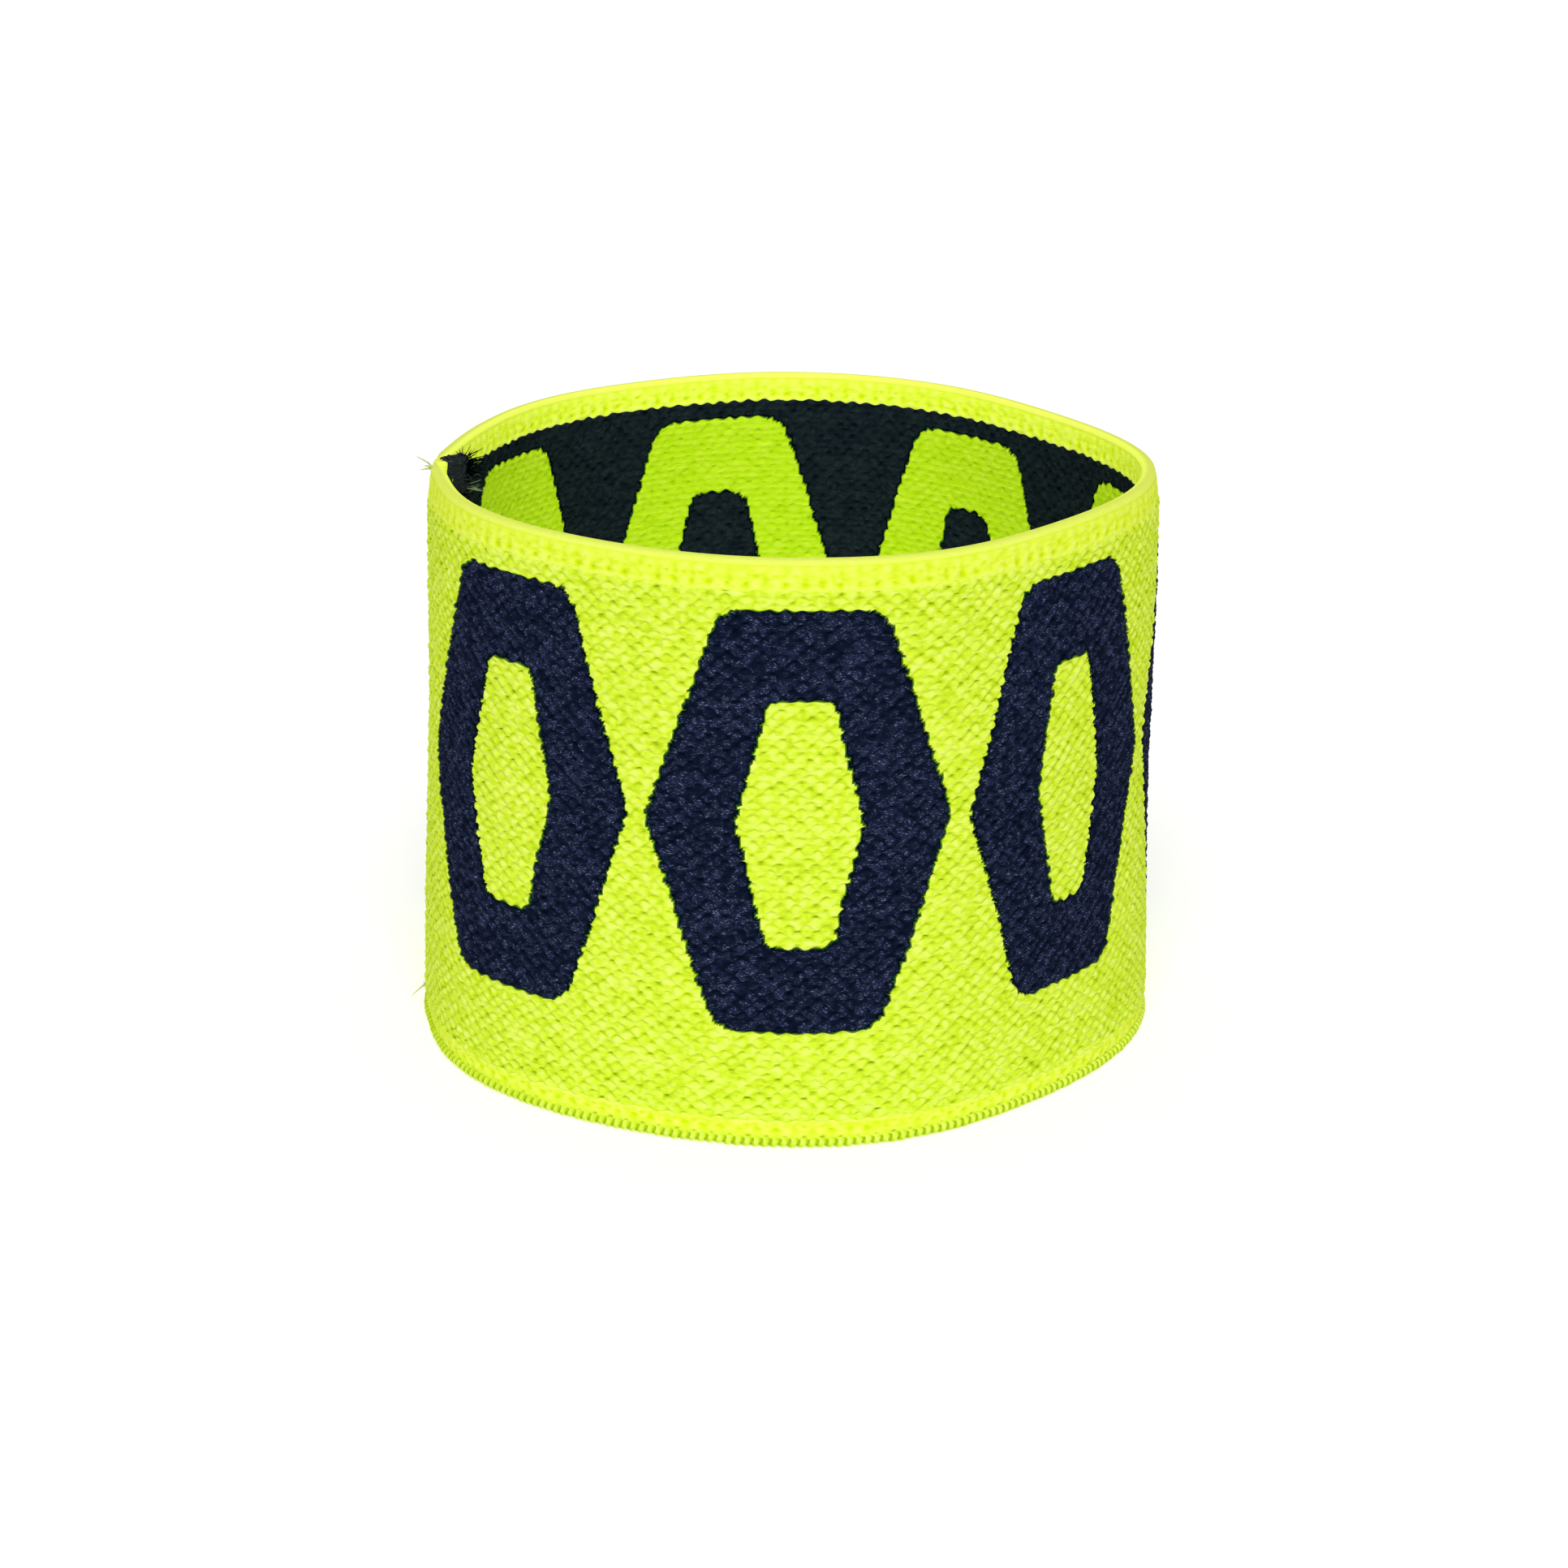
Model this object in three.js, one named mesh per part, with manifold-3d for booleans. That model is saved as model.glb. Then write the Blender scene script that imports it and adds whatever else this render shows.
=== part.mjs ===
// Sweat wristband: a strip of double-faced woven elastic, standing on edge and sewn into a loop.
//
// Units are millimetres and +Z is up. The origin is at the middle of the loop, at the height of its lower rim.
// The front is at -Y. The seam is at the -X side, where both ends of the strip turn inward.
//
// The strip has a face cloth outside, a back cloth inside and elastic cords between them. Each figure of the
// pattern is a yarn inlay in a shallow recess of its cloth. Every layer is extruded along one plan line.

import * as THREE from 'three';
import { mergeVertices } from 'three/addons/utils/BufferGeometryUtils.js';
import Module from 'manifold-3d';

const wasm = await Module();
wasm.setup();

// ---- Driving dimensions: the loop ----

const BAND_HEIGHT = 40; // width of the woven strip
const LOOP_RADIUS = 25.4; // outer radius at half height, before the waves below
const FLARE = 0.02; // share by which the lower rim is wider, and the upper rim narrower
const WALL_STEPS = 36;

// The loop is soft and stands a little out of round. Each wave adds amount * cos(count * angle - phase).
const PLAN_WAVES = [
  { count: 2, amount: 0.021, phase: degrees(180) },
  { count: 3, amount: 0.015, phase: degrees(-35) },
  { count: 4, amount: 0.009, phase: degrees(25) },
  { count: 5, amount: 0.011, phase: degrees(-25) },
];

// ---- Driving dimensions: the fabric ----

const FABRIC_THICKNESS = 1.4;
const CLOTH_THICKNESS = 0.42; // face cloth and back cloth, each
const LAYER_GAP = 0.06; // between a layer and the one under it
const EDGE_GAP = 0.1; // between a cloth's edge and the selvedge along it
const TOP_SELVEDGE_HEIGHT = 1.9;
const BOTTOM_SELVEDGE_HEIGHT = 1.8;
const RIM_CHAMFER = 0.35; // the rounded corners of both rims
const CATCH_THREAD_WIDTH = 0.5;
const CATCH_THREAD_BASE = 0.25; // its height above the lower rim
const CATCH_THREAD_GAP = 0.08;

const ELASTIC_COUNT = 12;

// ---- Driving dimensions: the pattern ----

const MOTIF_COUNT = 7;
const MOTIF_SPACING = 1.2; // between neighbouring figures
const MOTIF_STROKE = 5.8;
const MOTIF_BASE = 8.2; // height of a figure's lowest edge above the lower rim
const MOTIF_TOP_MARGIN = 3.3; // plain cloth and selvedge over the figures
const PLAIN_BEFORE = 7.1; // plain length from the seam to the first figure's repeat
const PLAIN_AFTER = 5.0; // plain length from the last figure's repeat to the seam
const MOTIF_FLAT_SHARE = 0.52; // how much of a figure's width its flat top takes
const MOTIF_CORNER = 1.5;
const COUNTER_CORNER = 0.8;
const INLAY_DEPTH = 0.2;
const INLAY_GAP = 0.3; // between an inlay and the sides of its recess

// ---- Driving dimensions: the seam ----

const SEAM_ANGLE = degrees(185);
const SEAM_LEAN = degrees(25); // the turned-in ends lean towards the back
const SEAM_GAP = 0.1; // between the two turned-in faces
const FOLD_INNER_RADIUS = 0.3; // of the back cloth, where the strip turns in
const STITCH_SETBACK = 0.5; // from the end of the deeper fold to the stitch row
const SEAM_ALLOWANCE = 1.4; // from the stitch row to the cut ends
const STITCH_LENGTH = 2.5;
const STITCH_SWAY = 0.3;
const THREAD_RADIUS = 0.16;
const THREAD_GAP = 0.1; // between a thread and the cloth that it lies on
const OVERLOCK_PITCH = 3.2; // it is adjusted a little, to a whole number of turns
const OVERLOCK_RIM_GAP = 1.6; // height that the last turn leaves free at the upper rim
const TAIL_LENGTH = 1.2;

// ---- Sizes that follow from the driving dimensions ----

const HALF_THICKNESS = FABRIC_THICKNESS / 2;
const CORE_HALF = HALF_THICKNESS - CLOTH_THICKNESS;
const CLOTH_BASE = BOTTOM_SELVEDGE_HEIGHT + EDGE_GAP;
const CLOTH_TOP = BAND_HEIGHT - TOP_SELVEDGE_HEIGHT - EDGE_GAP;
const ELASTIC_WIDTH = 2 * (CORE_HALF - LAYER_GAP);

const MOTIF_PITCH = (2 * Math.PI * LOOP_RADIUS - PLAIN_BEFORE - PLAIN_AFTER) / MOTIF_COUNT;
const MOTIF_WIDTH = MOTIF_PITCH - MOTIF_SPACING;
const MOTIF_HEIGHT = BAND_HEIGHT - MOTIF_BASE - MOTIF_TOP_MARGIN;

const FOLD_RADIUS = HALF_THICKNESS + FOLD_INNER_RADIUS; // of the fabric's middle line
const FOLD_ACROSS = HALF_THICKNESS + SEAM_GAP / 2 + FOLD_RADIUS; // from the seam to a fold's centre
const STITCH_DEPTH = foldDepth(-1) + STITCH_SETBACK;
const SEAM_DEPTH = STITCH_DEPTH + SEAM_ALLOWANCE;

// ---- Materials ----

const NEON_YARN = yarn(0xd2f52a, 0.75);
const NAVY_YARN = yarn(0x161c36, 0.8);
const ELASTIC = yarn(0xe6e2d6, 0.55);
const SEAM_THREAD = yarn(0xd9ee6a, 0.6);
const OVERLOCK_THREAD = yarn(0x1a2038, 0.65);

function yarn(color, roughness) {
  return new THREE.MeshStandardMaterial({ color, roughness, metalness: 0 });
}

function degrees(value) {
  return THREE.MathUtils.degToRad(value);
}

// ---- The plan line of the strip ----

function wallRadius(angle) {
  const waves = PLAN_WAVES.map(({ count, amount, phase }) => amount * Math.cos(count * angle - phase));
  return LOOP_RADIUS * (1 + waves.reduce((sum, wave) => sum + wave, 0)) - HALF_THICKNESS;
}

function wallSlope(angle) {
  const step = 1e-3;
  return (wallRadius(angle + step) - wallRadius(angle - step)) / (2 * step);
}

function direction(angle) {
  return new THREE.Vector2(Math.cos(angle), Math.sin(angle));
}

// The seam's own axes in plan: out of the loop, along the loop, into the turned-in ends, and across them.
const SEAM_OUT = direction(SEAM_ANGLE);
const SEAM_ALONG = direction(SEAM_ANGLE + Math.PI / 2);
const SEAM_INTO = direction(SEAM_ANGLE + Math.PI + SEAM_LEAN);
const SEAM_ACROSS = direction(SEAM_ANGLE + Math.PI / 2 + SEAM_LEAN);
const SEAM_POINT = SEAM_OUT.clone().multiplyScalar(wallRadius(SEAM_ANGLE));

// A point of the seam in plan, from how far it is into the turned-in ends and across them.
function seamPoint(into, across) {
  return SEAM_POINT.clone().addScaledVector(SEAM_INTO, into).addScaledVector(SEAM_ACROSS, across);
}

// How far into the seam the fold's centre lies. Side +1 is the front end of the strip, side -1 the back one.
function foldDepth(side) {
  return (FOLD_RADIUS - side * Math.sin(SEAM_LEAN) * FOLD_ACROSS) / Math.cos(SEAM_LEAN);
}

// One end of the strip. The fold is an arc that leaves the turned-in end and meets the wall.
function foldedEnd(side) {
  const centre = seamPoint(foldDepth(side), side * FOLD_ACROSS);
  const turn = Math.PI / 2 - side * SEAM_LEAN;
  const steps = side > 0 ? 3 : 4;
  const stations = [
    station(seamPoint(SEAM_DEPTH, side * (FOLD_ACROSS - FOLD_RADIUS)), SEAM_ANGLE - side * turn),
  ];
  for (let i = 0; i <= steps; i++) {
    const outward = SEAM_ANGLE - side * turn * (1 - i / steps);
    stations.push(station(centre.clone().addScaledVector(direction(outward), FOLD_RADIUS), outward));
  }
  return { stations, reach: Math.abs(centre.dot(SEAM_ALONG)) / wallRadius(SEAM_ANGLE) };
}

// A place on the plan line and the direction in which the face cloth looks there.
function station(point, outward) {
  return { point, outward };
}

function stripStations() {
  const front = foldedEnd(1);
  const back = foldedEnd(-1);
  const start = SEAM_ANGLE + front.reach;
  const sweep = 2 * Math.PI - front.reach - back.reach;
  const wall = [];
  for (let i = 1; i < WALL_STEPS; i++) {
    const angle = start + (sweep * i) / WALL_STEPS;
    const point = direction(angle).multiplyScalar(wallRadius(angle));
    wall.push(station(point, angle - Math.atan(wallSlope(angle) / wallRadius(angle))));
  }
  return [...front.stations, ...wall, ...back.stations.reverse()];
}

// The plan line as a curve whose sections stand at the stations.
class StripLine extends THREE.Curve {
  constructor(stations) {
    super();
    this.stations = stations;
  }

  getUtoTmapping(u) {
    return u;
  }

  at(t) {
    return this.stations[Math.round(t * (this.stations.length - 1))];
  }

  getPoint(t, target = new THREE.Vector3()) {
    const { point } = this.at(t);
    return target.set(point.x, point.y, 0);
  }

  getTangent(t, target = new THREE.Vector3()) {
    const { outward } = this.at(t);
    return target.set(-Math.sin(outward), Math.cos(outward), 0);
  }
}

const STRIP_LINE = new StripLine(stripStations());

// A layer of the strip. Its section is a list of [outward, up] points about the fabric's middle line.
function layer(section) {
  const shape = new THREE.Shape(section.map(([outward, up]) => new THREE.Vector2(-up, -outward)));
  return new THREE.ExtrudeGeometry(shape, {
    steps: STRIP_LINE.stations.length - 1,
    extrudePath: STRIP_LINE,
    bevelEnabled: false,
  });
}

function flatLayer(inner, outer, base, top) {
  return layer([
    [inner, base],
    [outer, base],
    [outer, top],
    [inner, top],
  ]);
}

// ---- Cutting and joining ----

function solid(geometry) {
  const bare = geometry.clone();
  bare.deleteAttribute('normal');
  bare.deleteAttribute('uv');
  const merged = mergeVertices(bare, 1e-4);
  return new wasm.Manifold(
    new wasm.Mesh({
      numProp: 3,
      vertProperties: Float32Array.from(merged.attributes.position.array),
      triVerts: Uint32Array.from(merged.index.array),
    }),
  );
}

function geometryOf(manifold) {
  const mesh = manifold.getMesh();
  const geometry = new THREE.BufferGeometry();
  geometry.setAttribute('position', new THREE.BufferAttribute(mesh.vertProperties, mesh.numProp));
  geometry.setIndex(new THREE.BufferAttribute(mesh.triVerts, 1));
  geometry.computeVertexNormals();
  return geometry;
}

// ---- The pattern ----

// A closed outline with rounded corners.
function roundedOutline(outline, corners, radius) {
  const points = corners.map(([across, up]) => new THREE.Vector2(across, up));
  points.forEach((corner, i) => {
    const before = points.at(i - 1).clone().sub(corner).setLength(radius).add(corner);
    const after = points[(i + 1) % points.length].clone().sub(corner).setLength(radius).add(corner);
    if (i === 0) {
      outline.moveTo(before.x, before.y);
    } else {
      outline.lineTo(before.x, before.y);
    }
    outline.quadraticCurveTo(corner.x, corner.y, after.x, after.y);
  });
  return outline;
}

// The corners of a hexagon of this width and height on the flat strip, as seen on a wall of the given radius.
function hexagon(width, height, radius) {
  const across = (along) => radius * Math.sin(along / LOOP_RADIUS);
  const side = across(width / 2);
  const flat = across((MOTIF_FLAT_SHARE * width) / 2);
  return [
    [side, 0],
    [flat, height / 2],
    [-flat, height / 2],
    [-side, 0],
    [-flat, -height / 2],
    [flat, -height / 2],
  ];
}

// A hexagon ring that reaches through the wall at one angle, grown by a margin on every side. It has the
// width that it needs on the face cloth (side +1) or on the back cloth (side -1).
function motifCutter(angle, margin, side) {
  const radius = wallRadius(angle) + side * HALF_THICKNESS;
  const width = MOTIF_WIDTH + 2 * margin;
  const height = MOTIF_HEIGHT + 2 * margin;
  const stroke = MOTIF_STROKE + 2 * margin;
  const ring = roundedOutline(new THREE.Shape(), hexagon(width, height, radius), MOTIF_CORNER);
  const counter = hexagon(width - 2 * stroke, height - 2 * stroke, radius);
  ring.holes.push(roundedOutline(new THREE.Path(), counter, COUNTER_CORNER));
  const reach = 4 * FABRIC_THICKNESS + MOTIF_WIDTH / 4;
  const prism = new THREE.ExtrudeGeometry(ring, {
    depth: 2 * reach,
    curveSegments: 2,
    bevelEnabled: false,
  });
  prism.translate(0, MOTIF_BASE + MOTIF_HEIGHT / 2, LOOP_RADIUS - reach);
  const out = new THREE.Vector3(Math.cos(angle), Math.sin(angle), 0);
  const along = new THREE.Vector3(-Math.sin(angle), Math.cos(angle), 0);
  const up = new THREE.Vector3(0, 0, 1);
  return solid(prism.applyMatrix4(new THREE.Matrix4().makeBasis(along, up, out)));
}

const MOTIF_ANGLES = Array.from(
  { length: MOTIF_COUNT },
  (_, i) => SEAM_ANGLE + (PLAIN_BEFORE + (i + 0.5) * MOTIF_PITCH) / LOOP_RADIUS,
);

// A cloth with a recess for each figure. side is +1 for the face cloth, and -1 for the back cloth.
function patternedCloth(side) {
  const floor = side * (HALF_THICKNESS - INLAY_DEPTH - LAYER_GAP);
  const beyond = side * (HALF_THICKNESS + 1);
  const cloth = flatLayer(
    Math.min(side * CORE_HALF, side * HALF_THICKNESS),
    Math.max(side * CORE_HALF, side * HALF_THICKNESS),
    CLOTH_BASE,
    CLOTH_TOP,
  );
  const recess = solid(
    flatLayer(Math.min(floor, beyond), Math.max(floor, beyond), CLOTH_BASE, CLOTH_TOP),
  );
  const cuts = MOTIF_ANGLES.map((angle) => recess.intersect(motifCutter(angle, INLAY_GAP, side)));
  return geometryOf(cuts.reduce((rest, cut) => rest.subtract(cut), solid(cloth)));
}

function inlays(side) {
  const bottom = side * (HALF_THICKNESS - INLAY_DEPTH);
  const top = side * HALF_THICKNESS;
  const sheet = solid(flatLayer(Math.min(bottom, top), Math.max(bottom, top), CLOTH_BASE, CLOTH_TOP));
  return MOTIF_ANGLES.map((angle) => geometryOf(sheet.intersect(motifCutter(angle, 0, side))));
}

// ---- The selvedges and the catch thread ----

function topSelvedge() {
  const base = BAND_HEIGHT - TOP_SELVEDGE_HEIGHT;
  return layer([
    [-HALF_THICKNESS, base],
    [HALF_THICKNESS, base],
    [HALF_THICKNESS, BAND_HEIGHT - RIM_CHAMFER],
    [HALF_THICKNESS - RIM_CHAMFER, BAND_HEIGHT],
    [RIM_CHAMFER - HALF_THICKNESS, BAND_HEIGHT],
    [-HALF_THICKNESS, BAND_HEIGHT - RIM_CHAMFER],
  ]);
}

// The lower rim is flat underneath, with a groove outside for the catch thread.
function bottomSelvedge() {
  const grooveFloor = HALF_THICKNESS - CATCH_THREAD_WIDTH - CATCH_THREAD_GAP;
  const grooveTop = CATCH_THREAD_BASE + CATCH_THREAD_WIDTH + CATCH_THREAD_GAP;
  return layer([
    [RIM_CHAMFER - HALF_THICKNESS, 0],
    [grooveFloor, 0],
    [grooveFloor, grooveTop],
    [HALF_THICKNESS, grooveTop],
    [HALF_THICKNESS, BOTTOM_SELVEDGE_HEIGHT],
    [-HALF_THICKNESS, BOTTOM_SELVEDGE_HEIGHT],
    [-HALF_THICKNESS, RIM_CHAMFER],
  ]);
}

function catchThread() {
  const inner = HALF_THICKNESS - CATCH_THREAD_WIDTH;
  const corner = CATCH_THREAD_WIDTH / 4;
  const top = CATCH_THREAD_BASE + CATCH_THREAD_WIDTH;
  return layer([
    [inner, CATCH_THREAD_BASE],
    [HALF_THICKNESS - corner, CATCH_THREAD_BASE],
    [HALF_THICKNESS, CATCH_THREAD_BASE + corner],
    [HALF_THICKNESS, top - corner],
    [HALF_THICKNESS - corner, top],
    [inner, top],
  ]);
}

// ---- The elastic cords: cut rubber of square section ----

function elasticCord(index) {
  const pitch = (CLOTH_TOP - CLOTH_BASE) / ELASTIC_COUNT;
  const middle = CLOTH_BASE + (index + 0.5) * pitch;
  const half = ELASTIC_WIDTH / 2;
  return flatLayer(-half, half, middle - half, middle + half);
}

// ---- The sewing ----

function thread(points, steps) {
  const line = new THREE.CatmullRomCurve3(points, false, 'catmullrom', 0.3);
  line.arcLengthDivisions = steps * 8;
  const sides = 5;
  const section = new THREE.Shape(
    Array.from({ length: sides }, (_, i) =>
      direction((2 * Math.PI * i) / sides).multiplyScalar(THREAD_RADIUS),
    ),
  );
  return new THREE.ExtrudeGeometry(section, { steps, extrudePath: line, bevelEnabled: false });
}

function raised(planPoint, height) {
  return new THREE.Vector3(planPoint.x, planPoint.y, height);
}

// How far across the seam a thread lies that rests on the outside of a turned-in end.
const THREAD_ACROSS = FABRIC_THICKNESS + SEAM_GAP / 2 + THREAD_GAP + THREAD_RADIUS;

// The stitch row on one turned-in end, a low zigzag from rim to rim.
function stitchRow(side) {
  const count = Math.round((BAND_HEIGHT - 2 * THREAD_RADIUS) / STITCH_LENGTH);
  const points = [];
  for (let i = 0; i <= count; i++) {
    const height = THREAD_RADIUS + ((BAND_HEIGHT - 2 * THREAD_RADIUS) * i) / count;
    const sway = (i % 2 ? STITCH_SWAY : -STITCH_SWAY) / 2;
    points.push(raised(seamPoint(STITCH_DEPTH + sway, side * THREAD_ACROSS), height));
  }
  return thread(points, count * 2);
}

// The overlock thread winds round the cut ends, from one outside to the other and back.
function overlock() {
  const start = STITCH_DEPTH + STITCH_SWAY / 2 + 2 * THREAD_RADIUS + THREAD_GAP;
  const edge = SEAM_DEPTH + THREAD_GAP + THREAD_RADIUS;
  const span = BAND_HEIGHT - OVERLOCK_RIM_GAP;
  const turns = Math.round(span / OVERLOCK_PITCH);
  const rise = span / turns / 6;
  const points = [];
  for (let i = 0; i < turns; i++) {
    const base = 2 * THREAD_RADIUS + 6 * i * rise;
    points.push(
      raised(seamPoint(start, THREAD_ACROSS), base),
      raised(seamPoint(edge, THREAD_ACROSS), base + rise),
      raised(seamPoint(edge, -THREAD_ACROSS), base + 2 * rise),
      raised(seamPoint(start, -THREAD_ACROSS), base + 3 * rise),
      raised(seamPoint(edge, -THREAD_ACROSS), base + 4 * rise),
      raised(seamPoint(edge, THREAD_ACROSS), base + 5 * rise),
    );
  }
  return thread(points, points.length * 2);
}

// A cut thread end that stands out of the groove along the seam.
function threadTail(height, droop) {
  const root = SEAM_POINT.clone().addScaledVector(SEAM_OUT, 2 * THREAD_RADIUS);
  const points = [0, 0.5, 1].map((share) =>
    raised(
      root.clone().addScaledVector(SEAM_OUT, share * TAIL_LENGTH),
      height + droop * share * share,
    ),
  );
  return thread(points, 4);
}

// ---- Assembly ----

// The lower rim is a little wider than the upper one: every level is scaled about the loop's axis.
function flare(geometry) {
  const position = geometry.attributes.position;
  for (let i = 0; i < position.count; i++) {
    const scale = 1 + FLARE * (1 - (2 * position.getZ(i)) / BAND_HEIGHT);
    position.setXY(i, position.getX(i) * scale, position.getY(i) * scale);
  }
  return geometry;
}

const band = new THREE.Group();
const strip = new THREE.Group();
band.add(strip);

function piece(name, geometry, material) {
  const mesh = new THREE.Mesh(flare(geometry), material);
  mesh.name = name;
  strip.add(mesh);
}

piece('face_cloth', patternedCloth(1), NEON_YARN);
inlays(1).forEach((inlay, i) => piece(`face_motif_${i + 1}`, inlay, NAVY_YARN));

piece('back_cloth', patternedCloth(-1), NAVY_YARN);
inlays(-1).forEach((inlay, i) => piece(`back_motif_${i + 1}`, inlay, NEON_YARN));

piece('top_selvedge', topSelvedge(), NEON_YARN);
piece('bottom_selvedge', bottomSelvedge(), NEON_YARN);
piece('catch_thread', catchThread(), NEON_YARN);

for (let i = 0; i < ELASTIC_COUNT; i++) {
  piece(`elastic_cord_${i + 1}`, elasticCord(i), ELASTIC);
}

piece('seam_needle_thread', stitchRow(1), SEAM_THREAD);
piece('seam_bobbin_thread', stitchRow(-1), SEAM_THREAD);
piece('overlock_thread', overlock(), OVERLOCK_THREAD);
piece('thread_tail_top', threadTail(BAND_HEIGHT - 1.2, 0.4), SEAM_THREAD);
piece('thread_tail_bottom', threadTail(1.8, -0.8), SEAM_THREAD);

// The loop is out of round, so its middle is found from its bounds.
const bounds = new THREE.Box3().setFromObject(strip);
const middle = bounds.getCenter(new THREE.Vector3());
strip.position.set(-middle.x, -middle.y, -bounds.min.z);

export default band;
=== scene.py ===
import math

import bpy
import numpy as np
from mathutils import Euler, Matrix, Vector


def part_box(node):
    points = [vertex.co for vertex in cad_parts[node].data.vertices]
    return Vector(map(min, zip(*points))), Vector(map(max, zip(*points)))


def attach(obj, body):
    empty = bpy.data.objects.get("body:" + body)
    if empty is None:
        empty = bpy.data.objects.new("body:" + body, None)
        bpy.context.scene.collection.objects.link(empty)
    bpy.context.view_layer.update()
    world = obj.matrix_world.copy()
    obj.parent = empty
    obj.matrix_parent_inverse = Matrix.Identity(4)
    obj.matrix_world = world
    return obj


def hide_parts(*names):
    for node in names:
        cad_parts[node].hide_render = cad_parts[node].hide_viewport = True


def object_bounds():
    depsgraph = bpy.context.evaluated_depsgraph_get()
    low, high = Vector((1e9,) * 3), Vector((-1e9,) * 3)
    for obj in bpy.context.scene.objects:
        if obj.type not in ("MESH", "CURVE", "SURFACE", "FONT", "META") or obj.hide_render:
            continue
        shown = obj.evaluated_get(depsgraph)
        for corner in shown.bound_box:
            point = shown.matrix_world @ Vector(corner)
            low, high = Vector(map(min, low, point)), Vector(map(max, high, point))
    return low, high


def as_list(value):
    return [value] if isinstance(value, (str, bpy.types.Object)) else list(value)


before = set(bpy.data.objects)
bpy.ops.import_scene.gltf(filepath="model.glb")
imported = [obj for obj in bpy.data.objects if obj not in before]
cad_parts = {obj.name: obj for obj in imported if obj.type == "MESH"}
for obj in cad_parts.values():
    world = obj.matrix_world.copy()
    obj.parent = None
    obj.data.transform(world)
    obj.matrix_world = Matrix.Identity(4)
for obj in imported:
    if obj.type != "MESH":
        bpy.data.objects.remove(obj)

# The looks of a sweat wristband: woven elastic, standing on edge and sewn into a loop.
#
# Lengths are in millimetres until a mesh is made. A place on the strip is given by its distance along the
# strip from one cut end, its height above the lower rim, and its depth: how far it lies outward from the
# fabric's middle line. Strip.place() turns these into points of the frame.

CAD_BOX = [list(corner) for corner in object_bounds()]
METRE = 0.001  # one millimetre in Blender's units

# ---- The weave ----

REPEAT = 1.16  # length of one slub of the weft, along the strip
ROW_PITCH = 0.467  # from one row of slubs to the next
ROW_WAVE = 0.31  # how far a row swells over its slubs, as a share of the row pitch
SLUB_STRAY = 0.16  # how far slubs stray along their row, as a share of the repeat
COLUMNS_PER_REPEAT = 8
FACE_LINES = 4  # mesh lines in a row of the face cloth
BACK_LINES = 3
FACE_RELIEF = 0.16
BACK_RELIEF = 0.08
TUFT_DEPTH = 0.05  # of the small lumps in the yarn of a slub
PIN_DEPTH = 0.09  # of the pinholes between the slubs
CREASE_DEPTH = 0.06  # of the line where two colours meet
CREASE_MARK = 2.0  # the pin value of that line, above those of the pinholes, so that it takes its own painted shade colour
CLOTH_THICKNESS = 0.42  # of each of the two cloths
EDGE_TOOTH = 0.09  # how far a figure's upright edge swings to and fro over two rows

# ---- The figures ----

STROKE = 5.8
FLAT_SHARE = 0.52
OUTER_CORNER = 2.1
COUNTER_CORNER = 1.1

# ---- The selvedges ----

RIM_RADIUS = 0.4  # height of the rounded part of the upper rim
RIM_INSET = 0.2  # by which the rims are thinner than the cloth on either side
CLOTH_STEP = 0.06  # the same, next to the cloth
RIB_DEPTH = 0.05
# Rows of pits: their distance from the edge of the patterned cloth, and how dark their painted shade is.
# A place on a rim has BEYOND_PITS as its distance: no pit or lump reaches it.
TOP_PITS = ((0.95, 0.35), (0.45, 0.6))
BOTTOM_PITS = ((0.30, 0.0), (0.66, 0.0), (1.12, 0.9))
BEYOND_PITS = 2.0
FURROW_DEPTH = 0.03
BEAD_RADIUS = 0.33
BEAD_HEIGHT = 0.36  # of the bead row's middle above the lower rim

# ---- The seam and the elastic ----

CORD_RADIUS = 0.22  # of the elastic cords
SEAM_LEAN = math.radians(25)
SEAM_THICKNESS = 0.5  # of the fabric where it is folded and pressed
SEAM_GAP = 0.02
FOLD_INNER_RADIUS = 0.02
THIN_LENGTH = 2.2  # over which the fabric swells back to its full thickness
CUT_MARGIN = 1.3  # from the deeper fold to the cut ends
SEAM_PEAK = 0.7  # how far the stiff seam pushes the wall outward
SEAM_PEAK_SPREAD = math.radians(6)
STITCH_LENGTH = 2.5
STITCH_RADIUS = 0.11
OVERLOCK_PITCH = 1.5
OVERLOCK_RADIUS = 0.1
OVERLOCK_SIDE = SEAM_THICKNESS + SEAM_GAP / 2 + OVERLOCK_RADIUS * 0.8  # from the seam's middle to the thread
GROOVE_DEPTH = 0.12  # that is left outside between the two folds, which are pressed together

# ---- How the soft band stands ----

LEAN = 0.3  # how far the lower rim stands out towards the seam
SLUMP = 0.9  # how far the lower rim stands back at the front
SLACK = 0.7  # the share of the seam's push that is lost where the wall gives way most
SLACK_HEIGHT = 0.625  # where that is, as a share of the height
WALL_SWAY = 0.16  # how far the wall wanders in and out
RIM_LIFT = 0.14  # how far the upper rim wanders up and down
COLUMN_DRIFT = 0.1  # how far the columns of the weave wander along the strip
ROW_DRIFT = 0.05  # how far its rows wander up and down
ROW_WOBBLE = 0.045  # how far each line between two rows wanders by itself


# ---- Reading the CAD model ----


def cad_points(node):
    """The corners of a CAD node, in millimetres."""
    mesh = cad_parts[node].data
    points = np.empty(len(mesh.vertices) * 3, np.float32)
    mesh.vertices.foreach_get("co", points)
    return points.reshape(-1, 3).astype(float) / METRE


def count_nodes(prefix):
    return sum(name.startswith(prefix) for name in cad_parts)


FIGURE_COUNT = count_nodes("face_motif_")
CORD_COUNT = count_nodes("elastic_cord_")


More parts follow.
